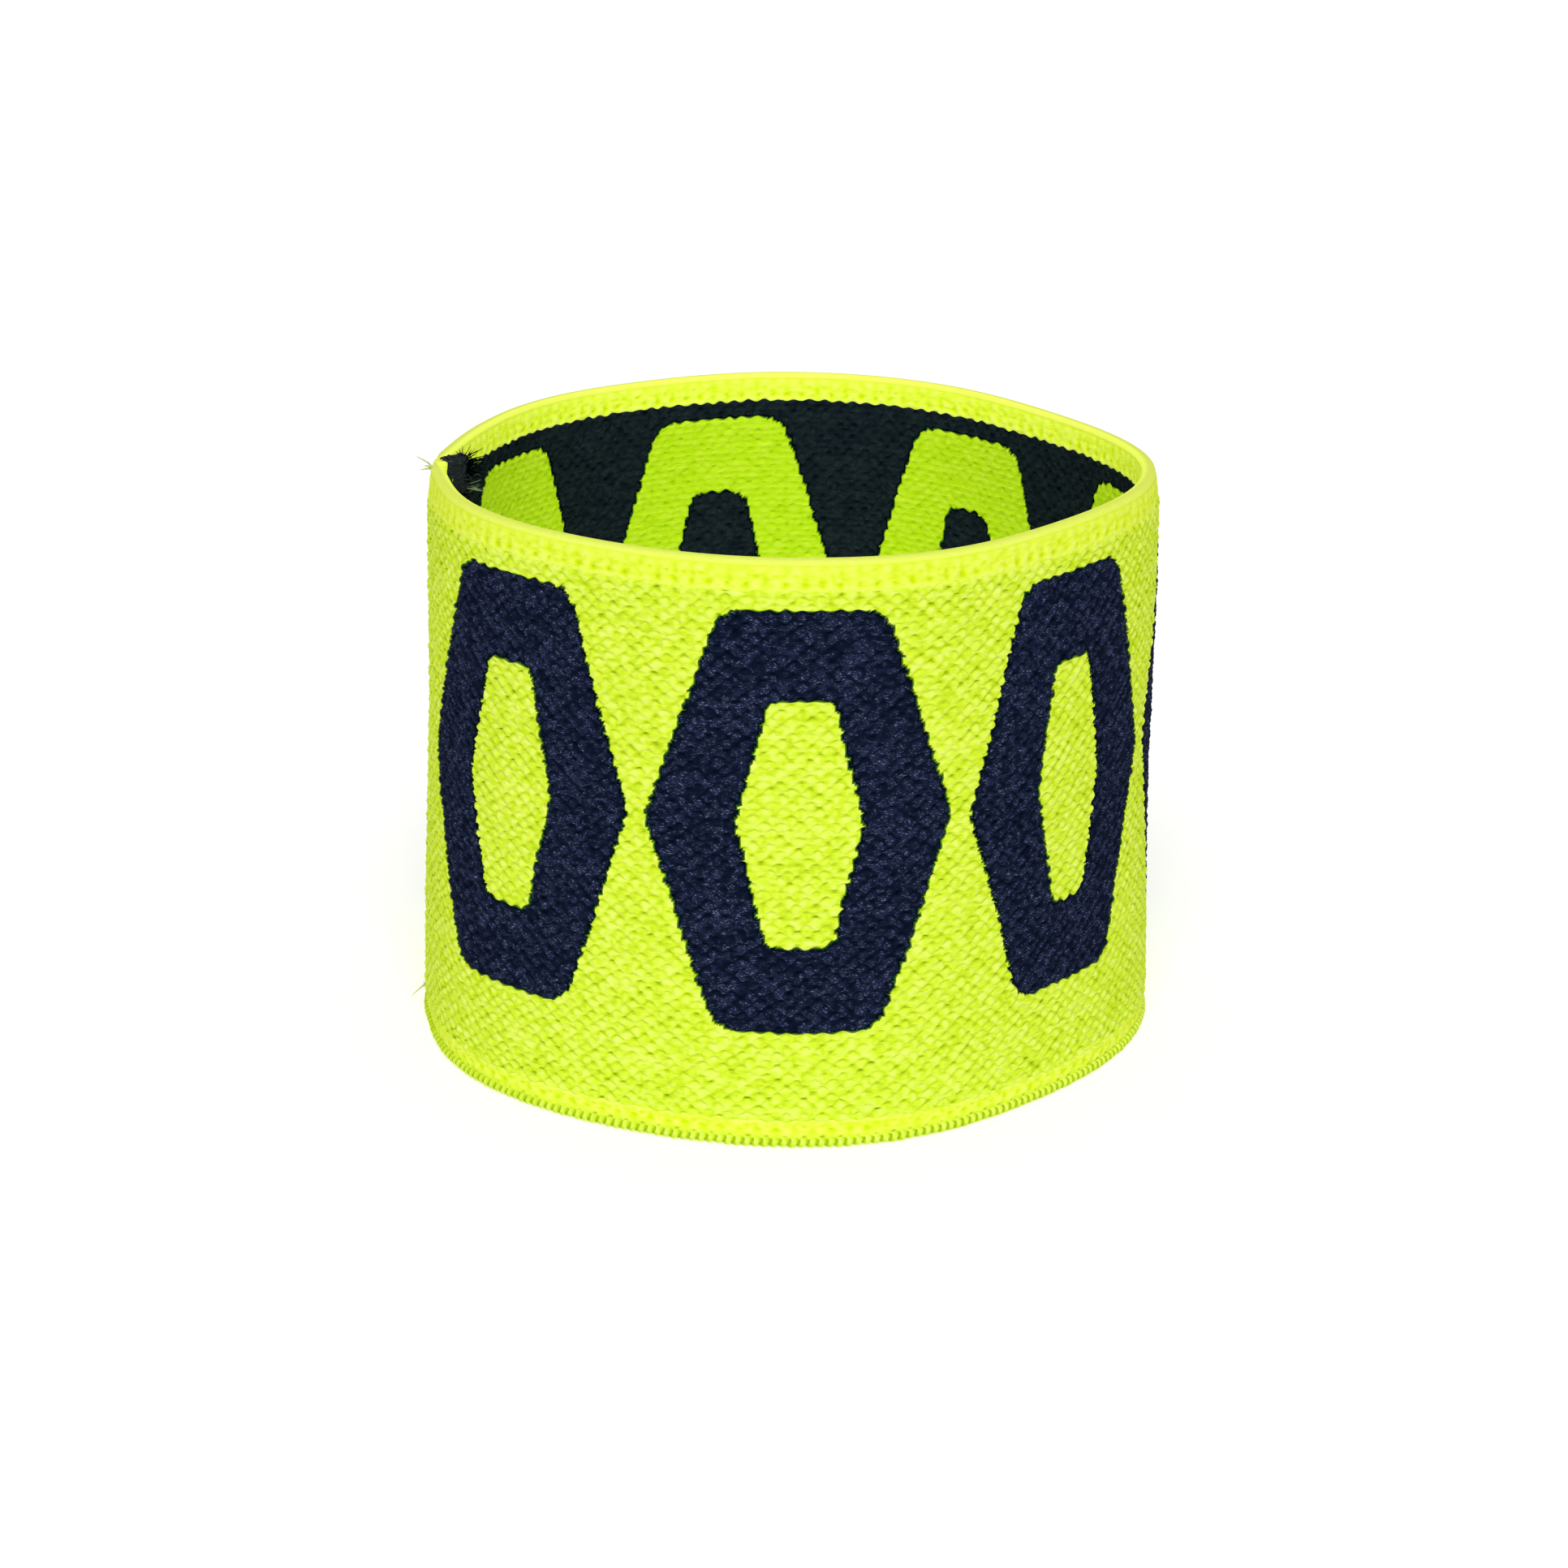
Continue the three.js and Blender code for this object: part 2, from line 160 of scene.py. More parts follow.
def heading(angle):
    """Unit vectors in plan that point this way."""
    return np.stack([np.cos(angle), np.sin(angle)], axis=-1)


class Loop:
    """The loop's axis, its taper and its out-of-round plan, read from the elastic cords."""

    SEAM_SPREAD = math.radians(8)  # the cords turn inward this close to the seam
    WAVES = 5  # of the plan, round the loop

    def __init__(self):
        low = cad_points("elastic_cord_1")
        high = cad_points(f"elastic_cord_{CORD_COUNT}")
        ratio = np.mean(np.ptp(low[:, :2], axis=0) / np.ptp(high[:, :2], axis=0))
        low_base = low[:, 2].min()
        high_base = high[:, 2].min()
        self.axis = (ratio * high.min(0)[:2] - low.min(0)[:2]) / (ratio - 1)
        self.slope = (ratio - 1) / (ratio * high_base - low_base)
        self.height = cad_points("top_selvedge")[:, 2].max()
        tail = cad_points("thread_tail_top").mean(0)[:2] - self.axis
        self.seam_angle = math.atan2(tail[1], tail[0])
        self.fit(np.vstack([low, high]))
        self.thickness = self.wall_thickness()

    def taper(self, height):
        """How much wider the loop is at this height than at half height."""
        return (1 - self.slope * height) / (1 - self.slope * self.height / 2)

    def levelled(self, points):
        """The plan of these points as it would be at half height."""
        return (points[:, :2] - self.axis) / self.taper(points[:, 2])[:, None]

    def fit(self, points):
        """Fits the plan's waves to the cords, leaving out their turned-in ends."""
        plan = self.levelled(points)
        angle = np.arctan2(plan[:, 1], plan[:, 0])
        from_seam = np.abs((angle - self.seam_angle + math.pi) % (2 * math.pi) - math.pi)
        wall = from_seam > self.SEAM_SPREAD
        waves = self.waves(angle[wall])
        self.amounts = np.linalg.lstsq(waves, np.hypot(*plan[wall].T), rcond=None)[0]

    def waves(self, angle):
        turns = np.multiply.outer(angle, np.arange(1, self.WAVES + 1))
        return np.concatenate([np.ones_like(turns[..., :1]), np.cos(turns), np.sin(turns)], axis=-1)

    def radius(self, angle):
        """Radius of the fabric's middle line at half height."""
        return self.waves(np.asarray(angle, float)) @ self.amounts

    def wall_thickness(self):
        """Read off the selvedge's corners where it is opposite the seam."""
        plan = self.levelled(cad_points("top_selvedge"))
        along = plan @ heading(self.seam_angle + math.pi / 2)
        opposite = plan @ heading(self.seam_angle) < 0
        nearest = np.abs(along[opposite]).min()
        station = opposite & (np.abs(np.abs(along) - nearest) < 0.2)
        return np.ptp(np.hypot(*plan[station].T))


loop = Loop()


def unit(vectors):
    return vectors / np.linalg.norm(vectors, axis=-1, keepdims=True)


def smooth_step(x):
    """Rises smoothly from 0 to 1."""
    x = np.clip(x, 0, 1)
    return x * x * (3 - 2 * x)


def wander(x, y, seed):
    """Smooth noise from -1 to 1 that repeats only after 128 steps of x or y."""
    lattice = np.random.default_rng(seed).uniform(-1, 1, (128, 128))
    left = np.floor(x).astype(int)
    below = np.floor(y).astype(int)
    across = smooth_step(x - left)
    up = smooth_step(y - below)
    low, high = (
        lattice[left % 128, row % 128] * (1 - across) + lattice[(left + 1) % 128, row % 128] * across
        for row in (below, below + 1)
    )
    return low * (1 - up) + high * up


# ---- The strip's middle line, from cut end to cut end ----


def plan_at(distance, run, line):
    """The line's points at these distances, where run holds the distances of its own points."""
    return np.stack([np.interp(distance, run, line[:, axis]) for axis in (0, 1)], axis=-1)


class Strip:
    """The strip's middle line in plan, and where its points stand."""

    STEP = 0.02  # between the stored points of the line

    def __init__(self):
        self.out = heading(loop.seam_angle)
        self.into = heading(loop.seam_angle + math.pi + SEAM_LEAN)
        self.across = heading(loop.seam_angle + math.pi / 2 + SEAM_LEAN)
        self.along = heading(loop.seam_angle + math.pi / 2)
        self.seam = self.out * loop.radius(loop.seam_angle)
        self.half_thin = SEAM_THICKNESS / 2
        self.fold_radius = self.half_thin + FOLD_INNER_RADIUS
        self.fold_across = self.half_thin + SEAM_GAP / 2 + self.fold_radius
        self.cut_depth = self.fold_depth(-1) + CUT_MARGIN
        front, front_reach = self.folded_end(1)
        back, back_reach = self.folded_end(-1)
        self.lay(np.vstack([front, self.wall(front_reach, back_reach), back[::-1]]))

    def seam_point(self, into, across):
        """Places in plan, from how far they lie into the seam and across it."""
        return self.seam + np.multiply.outer(into, self.into) + np.multiply.outer(across, self.across)

    def fold_depth(self, side):
        """How far into the seam the fold's centre lies. Side +1 is the front fold."""
        return (self.fold_radius - side * math.sin(SEAM_LEAN) * self.fold_across) / math.cos(SEAM_LEAN)

    def folded_end(self, side):
        """One end of the strip, from the cut end round its fold, and the angle that it takes up there."""
        depth = self.fold_depth(side)
        centre = self.seam_point(depth, side * self.fold_across)
        flap_depths = np.linspace(self.cut_depth, depth, 80, endpoint=False)
        flap = self.seam_point(flap_depths, np.full(80, side * (self.fold_across - self.fold_radius)))
        turn = math.pi / 2 - side * SEAM_LEAN
        outward = loop.seam_angle - side * turn * np.linspace(1, 0, 40)
        arc = centre + self.fold_radius * heading(outward)
        reach = abs(centre @ self.along) / loop.radius(loop.seam_angle)
        return np.vstack([flap, arc]), reach

    def wall(self, front_reach, back_reach):
        """Round the wrist opening, with room left for a soft bend into each fold."""
        first = loop.seam_angle + front_reach
        last = loop.seam_angle + 2 * math.pi - back_reach
        angle = np.linspace(first, last, 4000)[20:-20]
        return heading(angle) * loop.radius(angle)[:, None]

    def press(self, plan, depth):
        """Closes the groove outside between the two folds, all but a little of it."""
        offset = plan - self.seam
        across = offset @ self.across / self.fold_across
        fold_edge = self.fold_radius + self.half_thin
        front = self.fold_depth(1) - fold_edge
        back = self.fold_depth(-1) - fold_edge
        rim = (front + back) / 2 + (front - back) / 2 * np.clip(across, -1, 1)
        depth_in = offset @ self.into - rim
        flap = self.cut_depth - rim
        beyond = GROOVE_DEPTH + (depth_in - fold_edge) * (flap - GROOVE_DEPTH) / (flap - fold_edge)
        pressed = np.where(depth_in < fold_edge, depth_in * GROOVE_DEPTH / fold_edge, beyond)
        share = smooth_step(2 - 2 * np.abs(across)) * smooth_step(4 * depth)
        near_seam = depth_in < flap + 0.5
        share = share * near_seam
        return plan + self.into * (share * (pressed - depth_in))[..., None]

    def stand(self, plan, height):
        """The plan at half height, turned into the plan at each point's own height."""
        height = np.asarray(height, float)
        front = np.clip(-plan[..., 1] / np.hypot(plan[..., 0], plan[..., 1]), 0, 1) ** 3
        low = 1 - height / loop.height
        plan = plan + self.out * (self.peak(plan) * self.bow(height))[..., None]
        shift = np.stack([-LEAN * low, SLUMP * low * front], axis=-1)
        return plan * loop.taper(height)[..., None] + loop.axis + shift

    def bow(self, height):
        """The share of the seam's push that is left at a height."""
        away = np.abs(height / loop.height - SLACK_HEIGHT) / (1 - SLACK_HEIGHT)
        return 1 - SLACK * (1 - np.clip(away, 0, 1))

    def peak(self, plan):
        """How far the seam pushes these points of the plan outward."""
        angle = np.arctan2(plan[..., 1], plan[..., 0])
        from_seam = (angle - loop.seam_angle + math.pi) % (2 * math.pi) - math.pi
        return SEAM_PEAK * np.exp(-np.abs(from_seam / SEAM_PEAK_SPREAD) ** 1.5)

    def lay(self, line):
        """Spaces the points evenly, softens the corners and notes which way the face cloth looks."""
        run = np.concatenate([[0], np.cumsum(np.hypot(*np.diff(line, axis=0).T))])
        count = int(run[-1] / self.STEP)
        self.distance = np.linspace(0, run[-1], count)
        points = plan_at(self.distance, run, line)
        window = np.hanning(19)
        window /= window.sum()
        reach = len(window) // 2
        padded = np.pad(points, ((reach, reach), (0, 0)), "reflect", reflect_type="odd")
        self.points = np.stack([np.convolve(padded[:, i], window, "valid") for i in (0, 1)], axis=-1)
        tangent = unit(np.gradient(self.points, axis=0))
        self.outward = np.stack([tangent[:, 1], -tangent[:, 0]], axis=-1)
        self.length = run[-1]
        angle = np.unwrap(np.arctan2(self.points[:, 1], self.points[:, 0]))
        self.angle = np.maximum.accumulate(angle)

    def from_seam(self, distance):
        """Distance to the nearer fold; it is negative on the turned-in ends."""
        return np.minimum(distance, self.length - distance) - self.cut_depth

    def at_angle(self, angle):
        """The distance along the strip at which the wall stands at this angle about the axis."""
        start = self.angle[0]
        turned = start + (angle - start) % (2 * math.pi)
        middle = (self.angle > start) & (self.distance < self.length - self.cut_depth)
        return np.interp(turned, self.angle[middle], self.distance[middle])

    def place(self, distance, height, depth):
        """Points of the frame in millimetres. Distances beyond the cut ends run straight on."""
        given = [np.asarray(x, float) for x in (distance, height, depth)]
        distance, height, depth = np.broadcast_arrays(*given)
        inside = np.clip(distance, 0, self.length)
        plan = plan_at(inside, self.distance, self.points)
        outward = unit(plan_at(inside, self.distance, self.outward))
        forward = np.stack([-outward[..., 1], outward[..., 0]], axis=-1)
        swell = smooth_step(self.from_seam(distance) / THIN_LENGTH)
        thin_share = SEAM_THICKNESS / loop.thickness
        share = thin_share + (1 - thin_share) * swell
        sway = WALL_SWAY * wander(distance / 11, height / 17, 3) * swell
        plan = plan + outward * (depth * share + sway)[..., None] + forward * (distance - inside)[..., None]
        plan = self.stand(self.press(plan, depth), height)
        lift = RIM_LIFT * wander(distance / 13, distance * 0, 4) * swell
        return np.concatenate([plan, (height + lift * height / loop.height)[..., None]], axis=-1)


strip = Strip()

REPEATS = round(strip.length / REPEAT)
REPEAT_LENGTH = strip.length / REPEATS  # a whole number of them fills the strip
COLUMNS = REPEATS * COLUMNS_PER_REPEAT
CLOTH_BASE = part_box("face_cloth")[0].z / METRE
CLOTH_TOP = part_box("face_cloth")[1].z / METRE
ROWS = round((CLOTH_TOP - CLOTH_BASE) / ROW_PITCH)
PITCH = (CLOTH_TOP - CLOTH_BASE) / ROWS
HALF = loop.thickness / 2
CORE_HALF = HALF - CLOTH_THICKNESS


# ---- Making meshes ----


class Grid:
    """A sheet of quads with, at each corner, its place on the strip and how the yarn lies there."""

    def __init__(self, distance, height, depth, relief, pin):
        distance, height, depth, relief, pin = np.broadcast_arrays(distance, height, depth, relief, pin)
        self.shape = distance.shape
        drift = COLUMN_DRIFT * wander(distance / 5, height / 3.5, 5)
        rise = ROW_DRIFT * wander(distance / 4, height / 3, 6) * rim_fade(height)
        self.points = strip.place(distance + drift * end_fade(distance), height + rise, depth).reshape(-1, 3)
        self.strip = np.stack([distance, height, depth], axis=-1).reshape(-1, 3)
        self.yarn = yarn_vectors(relief, pin).reshape(-1, 3)

    def quads(self):
        lines, columns = self.shape
        index = np.arange(lines * columns).reshape(lines, columns)
        return np.stack([index[:-1, :-1], index[:-1, 1:], index[1:, 1:], index[1:, :-1]], axis=-1)


def doubled_ends(*values):
    """The values of a grid with those at both cut ends given twice, so that the ends can be closed."""
    return [np.concatenate([x[:, :1], x, x[:, -1:]], axis=1) for x in np.broadcast_arrays(*values)]


def yarn_vectors(relief, pin):
    """How the yarn lies: how near a slub's crest, and how deep in a pinhole or crease. The materials paint
    shade and highlights from it.
    """
    return np.stack([relief, pin, 0 * relief], axis=-1)


def rim_fade(height):
    """1 on the wall, and 0 at both rims."""
    return smooth_step((height - 0.8) / 2) * smooth_step((loop.height - 0.8 - height) / 2)


def end_fade(distance):
    """1 on the strip, and 0 at both cut ends."""
    return smooth_step(np.minimum(distance, strip.length - distance) / 2)


def new_object(name, points, quads, vectors, uv=None):
    """A smooth mesh object of the quads and the points that they use."""
    used, corners = np.unique(quads.reshape(-1), return_inverse=True)
    mesh = bpy.data.meshes.new(name)
    mesh.vertices.add(len(used))
    mesh.vertices.foreach_set("co", (points[used] * METRE).astype(np.float32).ravel())
    mesh.loops.add(len(corners))
    mesh.loops.foreach_set("vertex_index", corners.astype(np.int32).ravel())
    mesh.polygons.add(len(corners) // 4)
    mesh.polygons.foreach_set("loop_start", np.arange(0, len(corners), 4, dtype=np.int32))
    mesh.update(calc_edges=True)
    mesh.shade_smooth()
    for key, values in vectors.items():
        layer = mesh.attributes.new(key, "FLOAT_VECTOR", "POINT")
        layer.data.foreach_set("vector", values[used].astype(np.float32).ravel())
    if uv is not None:
        mesh.uv_layers.new(name="OFBake").data.foreach_set("uv", uv.astype(np.float32).ravel())
    obj = bpy.data.objects.new(name, mesh)
    bpy.context.scene.collection.objects.link(obj)
    return obj


UV_BANDS = 4  # the long strip is laid out as this many bands, one above the other


def banded_uv(place, quads):
    """Lays the strip out flat for baking. place holds each corner's (distance, way across)."""
    corner = place[quads.reshape(-1, 4)]
    middle = corner[:, :, 0].mean(1)
    band = np.clip((middle / strip.length * UV_BANDS).astype(int), 0, UV_BANDS - 1)
    u = corner[:, :, 0] / strip.length * UV_BANDS - band[:, None]
    low = place[:, 1].min()
    v = (corner[:, :, 1] - low) / (place[:, 1].max() - low)
    v = (band[:, None] + 0.02 + 0.96 * v) / UV_BANDS
    return np.stack([0.01 + 0.98 * u, v], axis=-1)


def finish_piece(obj, material, slot, *nodes):
    """Gives a piece its material and body, and hides its CAD nodes. The slot is not used."""
    obj.data.materials.append(material)
    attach(obj, "root")
    if nodes:
        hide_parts(*nodes)
    return obj


def tubes(paths, radii, sides):
    """Round threads. paths is (threads, stations, 3) and radii is (threads, stations)."""
    tangent = unit(np.gradient(paths, axis=1))
    least = np.abs(tangent).max(axis=1).argmin(axis=-1)
    across = unit(np.cross(tangent, np.eye(3)[least][:, None, :]))
    up = np.cross(across, tangent)
    angle = np.linspace(0, 2 * math.pi, sides, endpoint=False)
    ring = np.cos(angle)[:, None] * across[:, :, None, :] + np.sin(angle)[:, None] * up[:, :, None, :]
    points = paths[:, :, None, :] + radii[:, :, None, None] * ring
    threads, stations = radii.shape
    index = np.arange(threads * stations * sides).reshape(threads, stations, sides)
    turned = np.roll(index, -1, axis=2)
    quads = np.stack([index[:, :-1], turned[:, :-1], turned[:, 1:], index[:, 1:]], axis=-1)
    run = np.cumsum(np.linalg.norm(np.diff(paths, axis=1, prepend=paths[:, :1]), axis=-1), axis=1)
    along = np.broadcast_to(run[:, :, None], index.shape)
    around = np.broadcast_to(angle, index.shape)
    strand = np.broadcast_to(np.arange(threads)[:, None, None] * 7.3, index.shape)
    place = np.stack([along, around, strand], axis=-1).reshape(-1, 3)
    return points.reshape(-1, 3), quads.reshape(-1, 4), {"strip": place}


def thread_piece(name, paths, radii, sides, material, slot, *nodes):
    return finish_piece(new_object(name, *tubes(paths, radii, sides)), material, slot, *nodes)


def even_radii(path, radius, end):
    """Radii of one thread that is the same all along, and thinner at its two ends."""
    radii = np.full((1, len(path)), radius)
    radii[:, [0, -1]] = end
    return radii


# ---- The patterned cloths ----


def repeats_at(distance, row):
    """Distance counted in repeats. The slubs stray a little along their rows."""
    stray = SLUB_STRAY * wander(distance / 2.1, row / 2.3, 12)
    return distance / REPEAT_LENGTH + stray * end_fade(distance)


def row_line(row, distance):
    """Height of the line below a row of slubs. It swells and dips by turns over the slubs."""
    swell = 1 + 0.45 * wander(distance / 0.9, row * 1.3, 13)
    swell = swell * np.where((row == 0) | (row == ROWS), 0.5, 1)
    wave = ROW_WAVE * PITCH * swell * np.where(row % 2, -1, 1)
    wave = wave * np.cos(2 * math.pi * repeats_at(distance, row))
    wobble = ROW_WOBBLE * wander(distance / 0.6, row * 1.7, 11)
    return CLOTH_BASE + PITCH * row + wave * end_fade(distance) + wobble


def polygon_distance(points, corners):
    """Distance from each point to a closed outline, negative inside."""
    nearest = np.full(len(points), np.inf)
    inside = np.zeros(len(points), bool)
    for start, end in zip(corners, np.roll(corners, -1, axis=0)):
        edge = end - start
        offset = points - start
        share = np.clip(offset @ edge / (edge @ edge), 0, 1)
        nearest = np.minimum(nearest, np.linalg.norm(offset - share[:, None] * edge, axis=1))
        spans = (start[1] > points[:, 1]) != (end[1] > points[:, 1])
        rise = edge[1] if edge[1] else 1.0
        inside ^= spans & (points[:, 0] < start[0] + offset[:, 1] * edge[0] / rise)
    return np.where(inside, -nearest, nearest)


def hexagon(width, height, shrink):
    """Corners of the figure's outline, moved inward by an amount on every side."""
    flat = FLAT_SHARE * width / 2
    slant = np.array([width / 2 - flat, height / 2])
    slant_length = np.linalg.norm(slant)
    side = width / 2 - shrink * slant_length / slant[1]
    top = height / 2 - shrink
    upper = side - slant[0] * top / slant[1]
    return np.array([
        (side, 0), (upper, top), (-upper, top), (-side, 0), (-upper, -top), (upper, -top),
    ])


class Figure:
    """A hexagon ring, at the place and size that its CAD node has."""

    def __init__(self, number):
        points = cad_points(f"face_motif_{number}")
        plan = loop.levelled(points)
        angle = np.arctan2(plan[:, 1], plan[:, 0])
        middle = math.atan2(*plan.mean(0)[::-1])
        spread = (angle - middle + math.pi) % (2 * math.pi) - math.pi
        first = strip.at_angle(middle + spread.min())
        last = strip.at_angle(middle + spread.max())
        self.centre = np.array([(first + last) / 2, (points[:, 2].min() + points[:, 2].max()) / 2])
        self.width = last - first
        self.height = np.ptp(points[:, 2])

    def holds(self, points):
        local = points - self.centre
        outer = polygon_distance(local, hexagon(self.width, self.height, OUTER_CORNER)) - OUTER_CORNER
        width = self.width - 2 * STROKE
        height = self.height - 2 * STROKE
        counter = polygon_distance(local, hexagon(width, height, COUNTER_CORNER)) - COUNTER_CORNER
        return (outer < 0) & (counter > 0)


FIGURES = [Figure(number + 1) for number in range(FIGURE_COUNT)]


def figure_labels(lines_per_row):
    """For each quad of a cloth's grid: 0 on the ground, or the number of the figure there."""
    row = (np.arange(ROWS * lines_per_row) + 0.5) / lines_per_row
    column = np.arange(COLUMNS) + 0.5
    tooth = EDGE_TOOTH * np.sin(math.pi * row)
    distance = (column * strip.length / COLUMNS)[None, :] + tooth[:, None]
    height = CLOTH_BASE + PITCH * row
    places = np.stack(np.broadcast_arrays(distance, height[:, None]), axis=-1).reshape(-1, 2)
    labels = np.zeros(len(places), int)
    for number, figure in enumerate(FIGURES, 1):
        labels[figure.holds(places)] = number
    return labels.reshape(distance.shape)


def weave(side, lines_per_row, relief_depth, seed, labels):
    """The grid of a cloth: side is +1 for the face cloth and -1 for the back cloth."""
    lines = np.arange(ROWS * lines_per_row + 1)
    row = np.minimum(lines // lines_per_row, ROWS - 1)[:, None]
    up = (lines[:, None] - row * lines_per_row) / lines_per_row
    distance = np.linspace(0, strip.length, COLUMNS + 1)[None, :]
    height = row_line(row, distance) * (1 - up) + row_line(row + 1, distance) * up
    turn = repeats_at(distance, row + up) + 0.5 * (row % 2)
    slub = np.floor(turn).astype(int)
    lens = np.cos(math.pi * (turn - slub - 0.5))
    random = np.random.default_rng(seed)
    tone = random.uniform(0, 1, (ROWS, REPEATS + 2))[row, slub]
    gap = random.beta(1.2, 2.2, (ROWS, REPEATS + 2))[row, np.round(turn).astype(int)]
    body = np.sin(math.pi * up) ** 0.8
    tip = np.exp(-((lens / 0.6) ** 2))
    pin = tip * body**3 * gap
    open_line = 0.5 + 0.5 * wander(distance / 0.8, (row + up) * 1.1, seed + 1)
    lumps = wander(distance / 0.27 + (row + up) * 0.4, (row + up) * 2.7, seed + 2)
    # Painted shade: relief falls between the rows (seam_between) and at the pinholes by the slub tips, which
    # the materials paint darker, and lumps raise it into a painted highlight; tone varies it at random.
    seam_between = (1 - body) * (0.15 + 0.85 * (1 - lens)) * open_line
    shade_and_tone = seam_between + 0.9 * tip * body * gap + 0.2 * tone * body
    relief = np.clip(1 - shade_and_tone + 0.35 * lumps, 0, 1.2)
    crease = crease_between(labels)
    mound = body * (0.5 + 0.5 * lens) * (0.75 + 0.5 * tone)
    depth = relief_depth * (mound - 0.5) + TUFT_DEPTH * lumps * body
    depth = depth - PIN_DEPTH * pin - CREASE_DEPTH * crease
    pin = np.maximum(pin, CREASE_MARK * crease)
    distance, height, depth, relief, pin = doubled_ends(distance, height, side * (HALF + depth), relief, pin)
    # At the cut ends the cloth turns in to its own inner side.
    depth[:, [0, -1]] = side * CORE_HALF
    return Grid(distance, height, depth, relief, pin)


def crease_between(labels):
    """1 at the corners where two colours meet, and 0 elsewhere."""
    padded = np.pad(labels, 1, mode="edge")
    around = [padded[:-1, :-1], padded[:-1, 1:], padded[1:, :-1], padded[1:, 1:]]
    return (np.maximum.reduce(around) != np.minimum.reduce(around)).astype(float)


def cloth_pieces(prefix, side, lines_per_row, relief, seed, ground_look, figure_look):
    """The ground of a cloth and its figures, cut out of one grid of corners."""
    labels = figure_labels(lines_per_row)
    grid = weave(side, lines_per_row, relief, seed, labels)
    quads = grid.quads()[..., ::side]
    labels = np.concatenate([labels[:, :1] * 0, labels, labels[:, :1] * 0], axis=1)
    vectors = {"strip": grid.strip, "yarn": grid.yarn}
    pieces = []
    for number in range(FIGURE_COUNT + 1):
        own = quads[labels == number]
        uv = banded_uv(grid.strip, own)
        name = f"{prefix}_figure_{number}" if number else f"{prefix}_ground"
        node = f"{prefix}_motif_{number}" if number else f"{prefix}_cloth"
        material, slot = figure_look if number else ground_look
        pieces.append(finish_piece(new_object(name, grid.points, own, vectors, uv), material, slot, node))
    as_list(pieces[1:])


# ---- The selvedges ----


def pits(distance, level, rows):
    """How near a place is to a pit, and how dark the painted shade is there. The rows are staggered by half
    a repeat.
    """
    near = np.zeros(np.broadcast_shapes(distance.shape, level.shape))
    dark = near.copy()
    for number, (height, darkness) in enumerate(rows):
        off = (distance / REPEAT_LENGTH + 0.5 * number) % 1 - 0.5
        size = 0.7 + 0.3 * wander(distance / 1.16, height + distance * 0, 22 + number)
        reach = np.hypot(off * REPEAT / 0.2, (level - height) / 0.13)
        pit = size * np.exp(-(reach**2))
        near = np.maximum(near, pit)
        dark = np.maximum(dark, darkness * pit)
    return near, dark


def selvedge(cloth_row, sections, pit_rows, lump_reach, material, name, node):
    """A selvedge along a row line of the cloth. Its sections go from one side over the rim to the other.

    Each is (depth, height, how much it is ribbed, distance from the cloth's edge, how deep in a furrow).
    """
    distance = np.linspace(0, strip.length, COLUMNS + 1)[None, :]
    depth, height, rib, level, furrow = (np.array(column)[:, None] for column in zip(*sections))
    line = row_line(np.array([[cloth_row]]), distance)
    height = height + np.clip(1 - level / 0.8, 0, 1) * (line - line.mean())
    pit, pin = pits(distance, level, pit_rows)
    ribs = 0.5 - 0.5 * np.cos(2 * math.pi * distance / REPEAT_LENGTH)
    tone = 0.5 + 0.5 * wander(distance / 0.7, height / 0.3, 21)
    near_cloth = np.clip(lump_reach - level, 0, 1)
    lumps = near_cloth * wander(distance / 0.3 + height * 0.8, height / 0.17, 23)
    # Painted shade between the ribs, in the pits and in the furrows, and a painted highlight on the lumps
    # near the cloth; tone varies the ribbed part at random.
    relief = 1.1 - 0.35 * rib * (1 - ribs) - pit - 0.6 * furrow - 0.3 * tone * rib + 0.5 * lumps
    relief = np.clip(relief, 0, 1.1)
    push = RIB_DEPTH * (rib * (ribs - 0.5) + lumps) - PIN_DEPTH * pit - FURROW_DEPTH * furrow
    depth = depth + np.sign(depth) * push
    distance, height, depth, relief, pin = doubled_ends(distance, height, depth, relief, pin)
    # At the cut ends the section shrinks, which closes the selvedge.
    middle = height[:, 1:-1].mean()
    height[:, [0, -1]] = middle + 0.2 * (height[:, [0, -1]] - middle)
    depth[:, [0, -1]] *= 0.2
    grid = Grid(distance, height, depth, relief, pin)
    quads = grid.quads().reshape(-1, 4)
    lines, columns = grid.shape
    across = np.repeat(np.arange(lines), columns)
    edge_piece(name, grid.points, quads, {"strip": grid.strip, "yarn": grid.yarn}, across, material, node)


def edge_piece(name, points, quads, vectors, across, material, node):
    """A neon piece that runs along an edge of the strip. across counts the corners' lines for its layout."""
    place = np.stack([vectors["strip"][:, 0], across], axis=-1)
    obj = new_object(name, points, quads, vectors, banded_uv(place, quads))
    finish_piece(obj, material, "neon_yarn", node)


def flat_sections(first, last):
    """Up or down one side of a selvedge, from the edge of the patterned cloth to the rim."""
    reach = abs(last - first)
    tucked = (HALF - 0.25, first - math.copysign(0.3, last - first), 0.0, 0.0, 0.0)
    side = []
    for share in np.linspace(0, 1, 14)[:-1]:
        depth = HALF - CLOTH_STEP - (RIM_INSET - CLOTH_STEP) * share**2
        height = first + share * (last - first)
        side.append((depth, height, smooth_step(share * 4), share * reach, 0.0))
    return [tucked] + side


def other_side(sections):
    return [(-depth, *rest) for depth, *rest in reversed(sections)]


